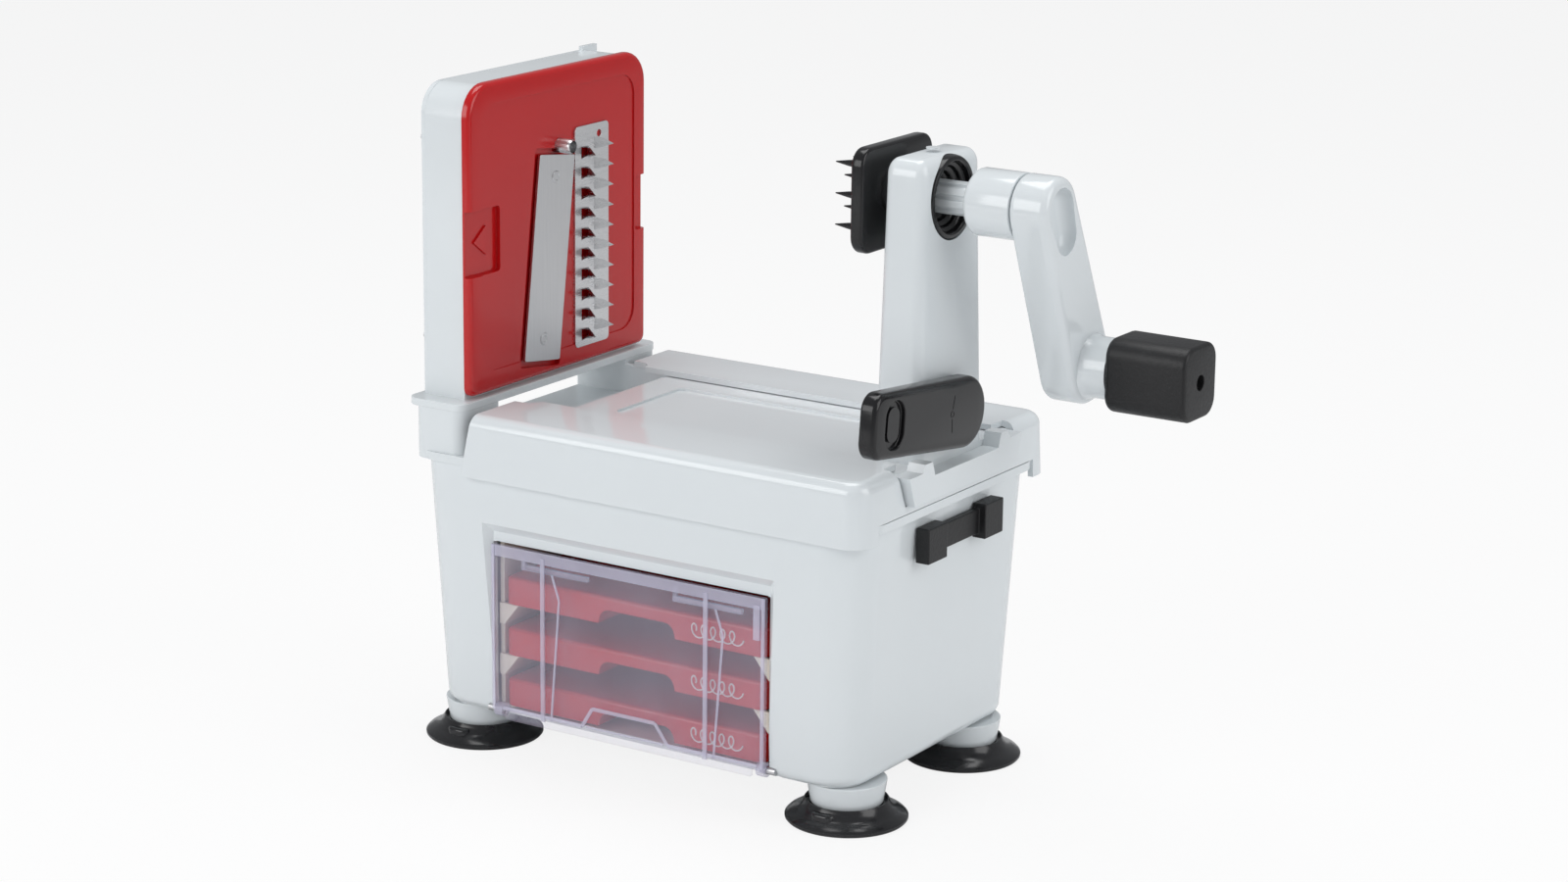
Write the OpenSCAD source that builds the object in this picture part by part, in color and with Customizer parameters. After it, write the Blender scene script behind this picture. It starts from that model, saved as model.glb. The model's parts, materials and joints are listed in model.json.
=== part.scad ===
// Spiral vegetable slicer: a hollow base on four suction cups carries a sliding board with a
// post and crank. The crank turns a spiked holder that presses food on an upright blade cassette.
// +X runs from the blades to the crank, +Y to the back, +Z up. The origin lies on the table,
// midway between the four suction cups.

/* [Base] */
// Length of the base at its rim
base_len = 209; // [190:1:240]
// Depth of the base at its rim
base_dep = 136; // [124:1:160]
// Height of the housing's open top above the table
base_top = 120; // [112:1:135]
// Height of the housing's lower edge above the table
base_low = 16.6; // [14:0.2:22]
// How far each side leans in from the rim to the lower edge
draft = 5; // [2:0.5:7]
// Radius of the upright corners at the rim
corner_r = 16; // [10:1:20]
// Wall of the mouldings
wall = 2.4; // [2:0.2:3]

/* [Feet] */
// Distance between the left and right suction cups
foot_span_x = 175; // [150:1:180]
// Distance between the front and back suction cups
foot_span_y = 88; // [78:1:92]
// Radius of a suction cup
cup_r = 24; // [20:0.5:26]
// Radius of the white boss above a cup
boss_r = 15.7; // [13:0.5:17]

/* [Cassette bay] */
// Left side of the bay's doorway
bay_left = -67.2; // [-70:0.2:-66]
// Height of the bay's doorway above the table
bay_top = 91; // [88:0.5:96]
// Clearance around the clear door
door_gap = 0.9; // [0.5:0.1:1.5]
// Thickness of the clear door
door_t = 2; // [1.6:0.1:3]
// Number of spare cassettes in the rack
spares = 3; // [1:1:3]
// Distance from one rack shelf to the next
shelf_pitch = 21.3; // [20:0.1:22.5]
// Angle to which the door falls open
door_open = 90; // [60:5:90]

/* [Blade cassette] */
// Width of a cassette's face plate
cas_w = 120.6; // [112:0.2:122]
// Height of a cassette's face plate
cas_h = 124.6; // [116:0.2:125]
// Thickness of the face plate
cas_plate = 3.6; // [3:0.2:4]
// Whole thickness of a cassette
cas_t = 11.4; // [10:0.2:12]
// Radius of the face plate's corners
cas_r = 13; // [8:1:16]
// How much smaller the cassette's body is than its plate, on each side
cas_lip = 3.4; // [3:0.2:5]
// Length of the straight blade
blade_len = 84; // [70:1:90]
// Width of the straight blade
blade_w = 22.6; // [18:0.2:24]
// Height of the comb plate
comb_h = 92; // [80:1:96]
// Width of the comb plate
comb_w = 23.4; // [20:0.5:26]
// Number of teeth in one row of the comb plate
teeth = 10; // [6:1:11]
// How far a tooth stands out
tooth_out = 7; // [4:0.5:8]

/* [Blade frame] */
// Depth of the frame's casing, front to back of the blade
frame_d = 18.4; // [16:0.2:22]
// Thickness of the foot flange under the frame
flange_t = 3; // [2.4:0.2:3.4]
// Depth of the tongues that stand in the towers
tongue_d = 12; // [8:1:14]
// Travel with which the frame is shown lifting off
frame_lift = 30; // [20:1:40]

/* [Sliding board] */
// Half the width of the board
board_half = 43.7; // [40:0.1:46]
// Length of the board from its left edge to its end panel
board_len = 158; // [150:1:162]
// Thickness of the board
board_t = 12; // [10:0.5:12.5]
// Travel of the board towards the blades
travel = 122; // [100:1:124]

/* [Post and crank] */
// Height of the crank shaft above the table
shaft_z = 238.4; // [228:0.2:246]
// Distance of the post's end face from the origin
post_x = 105.4; // [104:0.2:107]
// Thickness of the post at its foot
post_t = 21.6; // [19:0.2:23]
// Width of the post at its foot
post_w = 50; // [46:1:56]
// Radius of the crank shaft
shaft_r = 6.7; // [6:0.1:8]
// Distance from the shaft to the grip's axle
crank_r = 70.6; // [62:0.2:74]
// Turn of the crank arm from straight down at rest, in degrees
crank_rest = 23.8; // [0:0.2:40]
// Radius of the crank arm's upper end
arm_r = 13; // [11:0.5:14]
// Length of the grip
grip_len = 34.5; // [30:0.5:45]
// Width across the grip
grip_w = 27.6; // [24:0.2:30]

/* [Lever and lock] */
// Length of the clamp lever from its pivot to its free end
lever_len = 69; // [50:1:72]
// Width of the lever's round end
lever_w = 28; // [24:0.5:30]
// Travel of the lock slider
lock_travel = 8; // [4:0.5:9]

/* [Hidden] */
$fn = 64;

white = [0.87, 0.89, 0.9];
black = [0.1, 0.1, 0.1];
red = [0.72, 0.07, 0.08];
cream = [0.9, 0.87, 0.8];
steel = [0.75, 0.75, 0.77];
clear = [0.85, 0.87, 0.9, 0.4];

seat = 0.3;                          // gap between pieces that slide or only lie together
run = 0.05;                          // radial clearance of a shaft in its bore
eps = 0.05;
facets = 32;

base_left = -104;
base_right = base_left + base_len;
base_mid = (base_left + base_right) / 2;
rim_t = 3.4;                         // the slide bed's rim on the housing
rim_out = 3.6;                       // how far the rim stands out at both ends
rim_y = 1;                           // how far it stands out at the front and back
rim_top = base_top + rim_t;
bed_floor = base_top + 6.7;
chan_half = board_half + 0.4;
chan_wall = 2;
board_low = bed_floor + seat;
board_top = board_low + board_t;
lip_low = board_top + seat;
lip_t = 2.4;
hood_top = lip_low + lip_t;
hood_low = base_top - 3.6;
hood_left = base_left + 25.6;
hood_right = base_right + 3.8;
hood_half = base_dep / 2 + 3.7;
lip_half = chan_half - 8;
tower_right = hood_left - 0.8;
tower_half = base_dep / 2;
panel_left = hood_right - 4;
board_left = panel_left - board_len;
notch_half = 40;
panel_t = 7.4;                       // thickness of the end panel, which stands proud of the hood
sole_t = 3.2;                        // thickness of the sole under the post

frame_low = hood_top - 0.6;
frame_right = base_left + 19.8;
frame_left = frame_right - frame_d;
cas_low = frame_low + flange_t + 1.3;
cas_mid = cas_low + cas_h / 2;
cas_face = frame_right + seat + cas_plate;
body_w = cas_w - 2 * cas_lip;
body_h = cas_h - 2 * cas_lip;
case_w = cas_w - 1.6;
case_top = cas_low + cas_h - 1;
cover_t = 2;

spike_out = 11;
holder_t = 5.6;
holder_right = post_x - post_t - 5;
holder_left = holder_right - holder_t;
hub_left = post_x + 8.6;
arm_left = hub_left + 20;
arm_t = 16;
arm_right = arm_left + arm_t;
grip_boss = 11;
grip_left = arm_right + grip_boss + seat;
grip_y = crank_r * sin(crank_rest);
grip_z = shaft_z - crank_r * cos(crank_rest);
axle_r = 3;

bay_right = bay_left + cas_h + 6.8;
door_left = bay_left + door_gap;
door_right = bay_right - door_gap;
door_y = -base_dep / 2 + 2;
door_top = bay_top - door_gap - 0.8;
pin_r = 1.6;
lug_r = 3.1;
jamb_d = 7;                          // depth of the jambs behind the door's face
pin_y = door_y + lug_r;
pin_z = base_low + lug_r;
first_shelf = base_low + 4.6;
rack_front = door_y + 2 * lug_r + 0.4;
spare_front = door_y + door_t + 2.4;
spare_x = (bay_left + bay_right) / 2;
spare_depth = cas_w;
spare_y = spare_front + spare_depth / 2;
rack_len = spare_depth - 3.6;
rack_t = 2;
shelf_in = 4.8;

lever_t = 7;
lever_x = post_x + 1.4;
lever_y = -3;
lever_z = hood_top + 15;
lever_tilt = 6;
slot_mid = -14.4;                      // blade's middle above the cassette's middle
blade_side = -7.7;                   // middle of the blade to the back
blade_turn = 7.5;
comb_side = 21.4;
tube_side = 0;
tube_r = 3;
blade_t = 1;

lock_y = 2.5;
lock_len = 57;
lock_z = base_top - 12;
lock_h = 14;
lock_bar_h = 10;

// A rounded upright slab centred at x, y.
module slab(x, y, len, dep, r, z, t) {
    translate([x, y, z]) linear_extrude(t) offset(r = r) square([len - 2 * r, dep - 2 * r], center = true);
}

// The tub's outline at an inward offset, from its low edge to height z1.
module tub(inset, z0, z1) {
    low = draft * (base_top - z0) / (base_top - base_low) + inset;
    high = draft * (base_top - z1) / (base_top - base_low) + inset;
    r = corner_r - inset;
    hull() {
        slab(base_mid, 0, base_len - 2 * low - 3, base_dep - 2 * low - 3, r - 2, z0, 1, $fn = facets);
        slab(base_mid, 0, base_len - 2 * low, base_dep - 2 * low, r, z0 + 3, 1, $fn = facets);
        slab(base_mid, 0, base_len - 2 * high, base_dep - 2 * high, r, z1 - 1, 1, $fn = facets);
    }
}

// A rounded rectangle in the YZ plane, from x0 to x1.
module pane(y, z, w, h, r, x0, x1) {
    translate([x0, y, z]) rotate([90, 0, 90]) linear_extrude(x1 - x0)
        offset(r = r) square([w - 2 * r, h - 2 * r], center = true);
}

// A cylinder along X.
module rod(x0, x1, r, y = 0, z = 0) {
    translate([x0, y, z]) rotate([0, 90, 0]) cylinder(r = r, h = x1 - x0);
}

// A box given by its lowest and highest corners.
module block(lo, hi) {
    translate(lo) cube(hi - lo);
}

module at_feet() {
    for (x = [-1, 1], y = [-1, 1]) translate([x * foot_span_x / 2, y * foot_span_y / 2, 0]) children();
}

// ---- Base ----

module housing() {
    front = -base_dep / 2;
    color(white) difference() {
        tub(0, base_low, base_top);
        tub(wall, base_low - 6, base_top + 2);
        // doorway of the cassette bay and the slanted finger recess above it
        block([bay_left, front - 1, base_low - 1], [bay_right, front + 14, bay_top]);
        translate([bay_left, front, bay_top - eps]) rotate([90, 0, 90]) linear_extrude(bay_right - bay_left)
            polygon([[-2, 0], [2.2, 0], [2.2, 3.4], [-2, 8]]);
        // slot behind the lock slider
        block([base_right - 8, lock_y - lock_len / 2 + 8 - lock_travel, lock_z - 2.5],
            [base_right + 5, lock_y + lock_len / 2 - 6, lock_z + 2.5]);
        // holes for the door's hinge pins
        rod(bay_left - 4, bay_right + 4, pin_r, pin_y, pin_z);
    }
    // jambs that hold the hinge pins beside the door
    color(white) for (side = [0, 1]) difference() {
        x = side == 0 ? bay_left - 3 : bay_right;
        block([x, door_y + 1, base_low + 0.5], [x + 3, door_y + jamb_d, bay_top]);
        rod(x - 1, x + 4, pin_r, pin_y, pin_z);
    }
}

module base_plate() {
    inset = draft + wall + seat;
    color(white) difference() {
        slab(base_mid, 0, base_len - 2 * inset - 1, base_dep - 2 * inset - 1, corner_r - 4, base_low, 2.4);
        block([bay_left - 3 - seat, -base_dep, base_low - 1],
            [bay_right + 3 + seat, door_y + jamb_d + seat, base_low + 4]);
        at_feet() translate([0, 0, base_low - 1]) cylinder(r = 3.2, h = 5);
    }
}

module foot_bosses() {
    color(white) at_feet() difference() {
        translate([0, 0, 7]) cylinder(r1 = boss_r - 1.5, r2 = boss_r, h = base_low - seat / 3 - 7);
        translate([0, 0, 6]) cylinder(r = 2, h = base_low);
    }
}

module suction_cups() {
    color(black) at_feet() difference() {
        rotate_extrude() polygon([[0, 6.8], [0, 4.4], [9, 4.2], [cup_r - 4, 1.6], [cup_r - 3, 0], [cup_r, 0],
            [cup_r, 2], [cup_r - 3, 3.8], [boss_r + 0.6, 5.2], [boss_r - 2.4, 6.8]]);
        translate([0, 0, 3]) cylinder(r = 2, h = 5);
    }
}

module cup_screws() {
    color(steel) at_feet() translate([0, 0, 5]) {
        cylinder(r = 1.9, h = base_low - 1.5);
        translate([0, 0, base_low - 5 + 2.6]) cylinder(r = 4.2, h = 2);
    }
}

module slide_bed() {
    chan_out = chan_half + chan_wall;
    color(white) difference() {
        union() {
            slab(base_mid, 0, base_len + 2 * rim_out, base_dep + 2 * rim_y, corner_r, base_top, rim_t);
            block([base_left, -chan_out, base_top], [base_right - 1.5, chan_out, board_top - eps]);
            // towers that carry the blade frame
            slab((base_left + tower_right) / 2, 0, tower_right - base_left, 2 * tower_half, 6,
                base_top, frame_low - base_top);
        }
        // hollow under the floor
        block([base_left + 3, -chan_half, base_top - 1], [base_right - 4, chan_half, bed_floor - 2]);
        // openings beside the channel, inside the hood
        for (side = [-1, 1]) block([tower_right + 3, side * (chan_out + 11) - 7, base_top - 1],
            [base_right - 8, side * (chan_out + 11) + 7, rim_top + 1]);
        // the channel itself
        block([base_left - 10, -chan_half, bed_floor], [hood_right + 10, chan_half, frame_low + 10]);
        // pockets in the towers for the frame's tongues
        for (side = [-1, 1]) block([frame_left + 3 - seat, side * 56 - 8 - seat, frame_low - tongue_d - seat],
            [frame_right - 2 + seat, side * 56 + 8 + seat, frame_low + 10]);
    }
}

module hood() {
    len = hood_right - hood_left;
    mid = (hood_right + hood_left) / 2;
    color(white) difference() {
        union() {
            difference() {
                hull() {
                    slab(mid, 0, len, 2 * hood_half, 5, hood_low, 1, $fn = facets);
                    slab(mid, 0, len - 2, 2 * hood_half - 1.6, 5, hood_top - 5, 1, $fn = facets);
                    slab(mid, 0, len - 9, 2 * hood_half - 8, 4, hood_top - 1, 1, $fn = facets);
                }
                hull() {
                    slab(mid - 4, 0, len + 8 - 2 * wall, 2 * hood_half - 2 * wall, 4, hood_low - 2, 1, $fn = facets);
                    slab(mid - 4, 0, len + 6 - 2 * wall, 2 * hood_half - 2 * wall - 3, 4, hood_top - 4, 1,
                        $fn = facets);
                }
            }
            // lips that hold the board down
            for (side = [-1, 1]) block([hood_left + 5, min(side * lip_half, side * (hood_half - 8)), lip_low],
                [hood_right - 6, max(side * lip_half, side * (hood_half - 8)), hood_top]);
        }
        // the open channel between the lips and the notch in the end wall
        block([hood_left - 5, -lip_half, hood_low - 1], [hood_right - 6, lip_half, hood_top + 5]);
        translate([hood_right - 8, 0, 0]) rotate([90, 0, 90]) linear_extrude(20)
            polygon([[-notch_half, bed_floor], [notch_half, bed_floor],
                [notch_half + 7, hood_top + 1], [-notch_half - 7, hood_top + 1]]);
        // lift of the end skirt above the bed's rim, and room for the channel
        block([hood_right - 8, -hood_half + 13, hood_low - 1], [hood_right + 5, hood_half - 13, rim_top + seat]);
        block([hood_left - 5, -chan_half - chan_wall - seat, hood_low - 1],
            [hood_right - 5, chan_half + chan_wall + seat, lip_low]);
        // room for the rim
        slab(base_mid, 0, base_len + 2 * (rim_out + seat), base_dep + 2 * (rim_y + seat), corner_r + seat,
            hood_low - 1, rim_top + seat - hood_low + 1);
        block([hood_left - 5, -tower_half - 1, rim_top - 1], [tower_right + 0.6, tower_half + 1, hood_top + 5]);
    }
}

module lock_slider() {
    low = lock_z - lock_bar_h / 2;
    x = base_right + seat;
    color(black) {
        block([x, lock_y - lock_len / 2 + 8, low], [x + 3, lock_y + lock_len / 2 - 8, low + lock_bar_h]);
        for (side = [-1, 1]) translate([x, lock_y + side * (lock_len - 14) / 2 - 7, lock_z - lock_h / 2])
            cube([6, 14, lock_h]);
        // tongue through the slot and its keeper inside the wall
        block([x - 6.5, lock_y - 8, lock_z - 2], [x + 1, lock_y + 8, lock_z + 2]);
        block([x - 6.5, lock_y - 8, lock_z - 5], [x - 4.5, lock_y + 8, lock_z + 5]);
    }
}

// ---- Cassette bay ----

module rack_side(side) {
    x = side < 0 ? bay_left : bay_right;
    color(cream) {
        block([min(x, x - side * rack_t), rack_front, base_low + 2.4 + eps],
            [max(x, x - side * rack_t), rack_front + rack_len, bay_top - 2]);
        for (k = [0 : spares - 1]) translate([x, rack_front, first_shelf + k * shelf_pitch]) mirror([side > 0 ? 1 : 0, 0, 0])
            rotate([-90, 0, 0]) linear_extrude(rack_len) polygon([[0, 0.3], [shelf_in + rack_t, 0.3],
                [shelf_in + rack_t, 1.2], [rack_t, 2], [0, 2]]);
    }
}

module rack_left() { rack_side(-1); }
module rack_right() { rack_side(1); }

// One cassette moulding lying flat: plate down, long side along X, centred on its plate.
module cassette_form() {
    linear_extrude(cas_plate) difference() {
        offset(r = cas_r) square([cas_h - 2 * cas_r, cas_w - 2 * cas_r], center = true);
        cassette_slots();
    }
    translate([0, 0, cas_plate]) linear_extrude(cas_t - cas_plate) difference() {
        offset(r = 3) square([body_h - 6, body_w - 6], center = true);
        offset(r = 2) square([body_h - 10, body_w - 10], center = true);
    }
}

// Slots through the cassette: the food's way past the blade, and the window behind the teeth.
module cassette_slots() {
    translate([slot_mid, blade_side]) rotate(blade_turn) translate([0, blade_w / 2 - 3])
        square([blade_len - 6, 6], center = true);
    translate([-9.5, comb_side]) square([comb_h - 6, comb_w - 8], center = true);
    translate([shaft_z - cas_mid, tube_side]) circle(r = tube_r + run);
}

module spare_cassettes() {
    color(red) for (k = [0 : spares - 1])
        translate([spare_x, spare_y, first_shelf + k * shelf_pitch + cas_t]) mirror([0, 0, 1]) cassette_form();
}

module spare_blades() {
    color(steel) for (k = [0 : spares - 1])
        translate([spare_x + slot_mid, spare_y - blade_side, first_shelf + k * shelf_pitch + cas_t])
            rotate(-blade_turn) translate([-blade_len / 2, -blade_w / 2, 0]) cube([blade_len, blade_w, blade_t]);
}

module door_pins() {
    color(steel) for (side = [0, 1]) {
        x = side == 0 ? bay_left - 3 : bay_right - 4;
        rod(x, x + 7, pin_r - run, pin_y, pin_z);
    }
}

module door() {
    low = base_low;
    color(clear) difference() {
        union() {
            block([door_left, door_y, pin_z], [door_right, door_y + door_t, door_top]);
            block([door_left + 6, door_y, low], [door_right - 6, door_y + door_t, pin_z + 1]);
            // hinge lugs
            for (x = [door_left, door_right - 4]) rod(x, x + 4, lug_r - 0.2, pin_y, pin_z);
            for (x = [door_left, door_right - 4]) block([x, door_y, pin_z], [x + 4, pin_y, pin_z + 2.9]);
            // latch hooks behind the top edge
            for (x = [door_left + 16, door_right - 46]) block([x, door_y + door_t - 0.5, door_top - 9],
                [x + 30, door_y + door_t + 1.6, door_top - 7]);
            // stiffening ribs on the outside
            for (x = [door_left + 24, door_right - 28]) block([x, door_y - 0.8, pin_z + 4],
                [x + 1.6, door_y + 0.5, door_top - 4]);
        }
        rod(door_left - 1, door_left + 5, pin_r, pin_y, pin_z);
        rod(door_right - 5, door_right + 1, pin_r, pin_y, pin_z);
    }
}

// ---- Sliding board, post and lever ----

module sliding_board() {
    color(white) {
        difference() {
            block([board_left, -board_half, board_low], [panel_left, board_half, board_top]);
            block([board_left + 3, -board_half + 3, board_low - 1],
                [panel_left - 3, board_half - 3, board_top - 3]);
            block([post_x - post_t + 1, -post_w / 2 + 2, board_low - 1],
                [panel_left - 1, post_w / 2 - 2, board_top + 1]);
            // shallow tray in the top
            slab((board_left + holder_left) / 2 + 8, 0, holder_left - board_left - 16, 48, 4,
                board_top - 1, 4);
        }
        // end panel that closes the notch
        translate([panel_left, 0, 0]) rotate([90, 0, 90]) linear_extrude(panel_t) for (side = [0, 1])
            mirror([side, 0]) polygon([[-eps, board_low], [notch_half - 1.4, board_low],
                [board_half - 0.7, board_top - 0.1], [lip_half - 3, board_top - 0.1],
                [lip_half - 4.6, hood_top + 0.4], [lip_half - 10, hood_top + 0.4],
                [lip_half - 12, board_top - 2.5], [-eps, board_top - 2.5]]);
        // sole of the post, with the holes of its screws
        difference() {
            block([post_x - post_t, -post_w / 2 + 1, board_top - sole_t], [panel_left, post_w / 2 - 1, board_top]);
            for (y = [-16, 16]) translate([post_x - post_t / 2 - 1, y, board_top - 5]) cylinder(r = 1.5, h = 10);
        }
    }
}

module post() {
    top_t = 15.6;
    top_w = 43.6;
    back = post_x - post_t;
    color(white) difference() {
        hull() {
            slab(post_x - post_t / 2, 0, post_t, post_w, 4, board_top, 1, $fn = facets);
            slab(back + 1.6 + top_t / 2, 0, top_t, top_w, 4, shaft_z + 10, 1, $fn = facets);
            slab(back + 1.8 + top_t / 2, 0, top_t - 3, top_w - 16, 4, shaft_z + 17.2, 1, $fn = facets);
        }
        rod(post_x - 12, post_x + 5, 16.2, 0, shaft_z);
        rod(post_x - 20, post_x + 5, 10, 0, shaft_z);
        rod(post_x - 40, post_x + 5, shaft_r + 0.5, 0, shaft_z);
        rod(post_x - 14, post_x + 5, 3, lever_y, lever_z);
        // screw bosses in the foot
        for (y = [-16, 16]) translate([post_x - post_t / 2 - 1, y, board_top - 1]) cylinder(r = 1.5, h = 16);
    }
}

module post_screws() {
    color(steel) for (y = [-16, 16]) translate([post_x - post_t / 2 - 1, y, board_top - sole_t - 2]) {
        cylinder(r = 1.45, h = 18);
        cylinder(r = 3, h = 2);
    }
}

module bearing_ring() {
    // stepped funnel that leads the shaft: radius and distance from the post's end face
    tail = 1.8 - post_t;
    color(black) translate([post_x, 0, shaft_z]) rotate([0, 90, 0]) rotate_extrude()
        polygon([[16.1, -11.9], [16.1, -3.2], [12.6, -3.2], [12.6, -5.4], [10.4, -5.4], [10.4, -8],
            [shaft_r + run, -8], [shaft_r + run, tail], [9.9, tail], [9.9, -11.9]]);
}

module lever_pin() {
    color(steel) rod(post_x - 13, lever_x + lever_t - 2, 2.95, lever_y, lever_z);
}

module clamp_lever() {
    color(black) difference() {
        translate([lever_x, lever_y, lever_z]) rotate([-lever_tilt, 0, 0]) rotate([90, 0, 90])
            linear_extrude(lever_t) hull() {
                circle(r = lever_w / 2);
                translate([-lever_len + 7, lever_w / 2 - 7.6]) circle(r = 7);
                translate([-lever_len + 7, -lever_w / 2 + 9]) circle(r = 7);
            }
        rod(lever_x - 1, lever_x + lever_t - 1.8, 3, lever_y, lever_z);
    }
}

// ---- Crank ----

module drive_shaft() {
    color(white) difference() {
        rod(holder_right, hub_left + 8, shaft_r, 0, shaft_z);
        rod(holder_right + 3, holder_right + 4.2, shaft_r + 1, 0, shaft_z);
    }
    color(white) rod(holder_right + 2, holder_right + 5, shaft_r - 1.2, 0, shaft_z);
}

module shaft_clip() {
    color(steel) difference() {
        rod(holder_right + 3.1, holder_right + 4.1, shaft_r + 2, 0, shaft_z);
        rod(holder_right, holder_right + 8, shaft_r - 1.15, 0, shaft_z);
    }
}

module food_holder() {
    half_y = 26;
    half_z = 20.4;
    color(black) {
        pane(0, shaft_z - 1.2, 2 * half_y, 2 * half_z, 6, holder_left, holder_right);
        for (row = [-1 : 1], col = [-1.5 : 1 : 1.5]) spike(col * 12.4, row * 12.1);
        for (row = [-0.5, 0.5], col = [-1, 0, 1]) spike(col * 12.4, row * 12.1);
    }
}

module spike(y, z) {
    translate([holder_left + eps, y, shaft_z + z]) rotate([0, -90, 0])
        cylinder(r1 = 1.9, r2 = 0.25, h = spike_out, $fn = 24);
}

module crank_hub() {
    color(white) difference() {
        rod(hub_left, arm_left, arm_r, 0, shaft_z);
        rod(hub_left - 1, hub_left + 8, shaft_r, 0, shaft_z);
    }
}

module crank_arm() {
    color(white) difference() {
        union() {
            translate([arm_left, 0, 0]) rotate([90, 0, 90]) linear_extrude(arm_t) hull() {
                translate([0, shaft_z]) circle(r = arm_r);
                translate([grip_y, grip_z]) circle(r = arm_r + 2);
            }
            rod(arm_right - 1, arm_right + grip_boss, arm_r - 1, grip_y, grip_z);
        }
        // thumb dish in the outer face
        translate([arm_right - 2, 0, 0]) rotate([90, 0, 90]) linear_extrude(5) hull() {
            translate([0, shaft_z]) circle(r = 7.5);
            translate([grip_y / 6, shaft_z - (shaft_z - grip_z) / 6]) circle(r = 7.5);
        }
        rod(arm_right - 6, arm_right + grip_boss + 1, axle_r, grip_y, grip_z);
    }
}

module grip_axle() {
    color(steel) difference() {
        rod(arm_right - 6, grip_left + grip_len - 6, axle_r - eps / 2, grip_y, grip_z);
        rod(grip_left + grip_len - 16, grip_left + grip_len, 1.2, grip_y, grip_z);
    }
}

module axle_screw() {
    color(black) {
        rod(grip_left + grip_len - 6, grip_left + grip_len - 2.6, 4.4, grip_y, grip_z);
        rod(grip_left + grip_len - 15, grip_left + grip_len - 5, 1.15, grip_y, grip_z);
    }
}

module grip() {
    color(black) difference() {
        union() {
            pane(grip_y, grip_z, grip_w - 2, grip_w + 0.6, 7, grip_left, grip_left + 2);
            pane(grip_y, grip_z, grip_w, grip_w + 2.6, 8, grip_left + 2, grip_left + grip_len);
        }
        rod(grip_left - 1, grip_left + grip_len + 1, axle_r + run, grip_y, grip_z);
        rod(grip_left + grip_len - 6 - seat, grip_left + grip_len + 1, 4.7, grip_y, grip_z);
    }
}

// ---- Blade frame and its cassette ----

module blade_frame() {
    mid_z = (frame_low + flange_t + case_top) / 2;
    high = case_top - frame_low - flange_t;
    color(white) difference() {
        union() {
            pane(0, mid_z, case_w, high, cas_r - 1, frame_left, frame_right);
            block([frame_left, -case_w / 2, frame_low + 1], [frame_right, case_w / 2, frame_low + 30]);
            block([base_left - 3, -tower_half, frame_low], [tower_right, tower_half, frame_low + flange_t]);
        }
        pane(0, cas_mid, body_w + 2 * seat, body_h + 2 * seat, 3, frame_left - 5, frame_right + 5);
    }
    color(white) for (side = [-1, 1]) difference() {
        block([frame_left + 3, side * 56 - 8, frame_low - tongue_d], [frame_right - 2, side * 56 + 8, frame_low + eps]);
        block([frame_left + 5, side * 56 - 6, frame_low - tongue_d - 1], [frame_right - 4, side * 56 + 6, frame_low - 2]);
    }
}

module frame_cover() {
    mid_z = (frame_low + flange_t + case_top) / 2;
    high = case_top - frame_low - flange_t;
    x = frame_left - cover_t;
    color(white) difference() {
        union() {
            pane(0, mid_z, case_w - 1, high, cas_r - 1, x, frame_left);
            block([x, -case_w / 2 + 0.5, frame_low + flange_t], [frame_left, case_w / 2 - 0.5, frame_low + 30]);
            // small grip tab at the top
            block([x, case_w / 2 - 13, case_top - 4], [frame_left, case_w / 2 - 3, case_top + 1.6]);
        }
        pane(0, cas_mid, body_w - 4, body_h - 4, 3, x - 5, frame_right + 5);
        for (y = [-1, 1], z = [-1, 1]) rod(x - 1, frame_left + 1, 1.1, y * (body_w / 2 + 0.6), cas_mid + z * 40);
    }
}

module cover_screws() {
    color(steel) for (y = [-1, 1], z = [-1, 1])
        rod(frame_left - cover_t - 0.8, frame_left, 1.05, y * (body_w / 2 + 0.6), cas_mid + z * 40);
}

// Places a cassette form, drawn flat, upright in the frame with its plate to +X.
module upright() {
    translate([cas_face, 0, cas_mid]) rotate([0, -90, 0]) children();
}

module cassette() {
    color(red) upright() cassette_form();
}

// The straight blade's place on the cassette's face.
module at_blade() {
    upright() translate([slot_mid, blade_side, 0]) rotate([0, 180, 0]) rotate(-blade_turn) children();
}

module straight_blade() {
    color(steel) at_blade() difference() {
        translate([-blade_len / 2, -blade_w / 2, 0]) cube([blade_len, blade_w, blade_t]);
        for (side = [-1, 1]) translate([side * (blade_len / 2 - 9), 0, -1]) cylinder(r = 1.9, h = 4);
    }
}

module blade_rivets() {
    color(steel) at_blade() for (side = [-1, 1]) translate([side * (blade_len / 2 - 9), 0, 0]) {
        cylinder(r = 1.88, h = blade_t + 0.5);
    }
}

module comb_plate() {
    pitch = comb_h / (teeth + 0.6);
    color(steel) upright() translate([-9.5, comb_side, -0.8]) {
        difference() {
            translate([-comb_h / 2, -comb_w / 2, 0]) cube([comb_h, comb_w, 0.8]);
            translate([comb_h / 2 - 5, 6, -1]) cylinder(r = 1.6, h = 4);
        }
        for (k = [0 : teeth - 1], col = [-1, 1])
            comb_tooth((k + 0.8 + col * 0.2) * pitch - comb_h / 2, col * 4.6);
    }
}

module comb_tooth(x, y) {
    translate([x, y, 0]) rotate([90, 0, 0]) translate([0, 0, -0.6]) linear_extrude(1.2)
        polygon([[-2.6, 0.2], [2.6, 0.2], [1.6, -tooth_out]]);
}

module core_cutter() {
    color(steel) upright() translate([shaft_z - cas_mid, tube_side, 0]) difference() {
        translate([0, 0, -5.6]) cylinder(r = tube_r, h = 12);
        translate([0, 0, -7]) cylinder(r = tube_r - 0.6, h = 16);
    }
}

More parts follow.
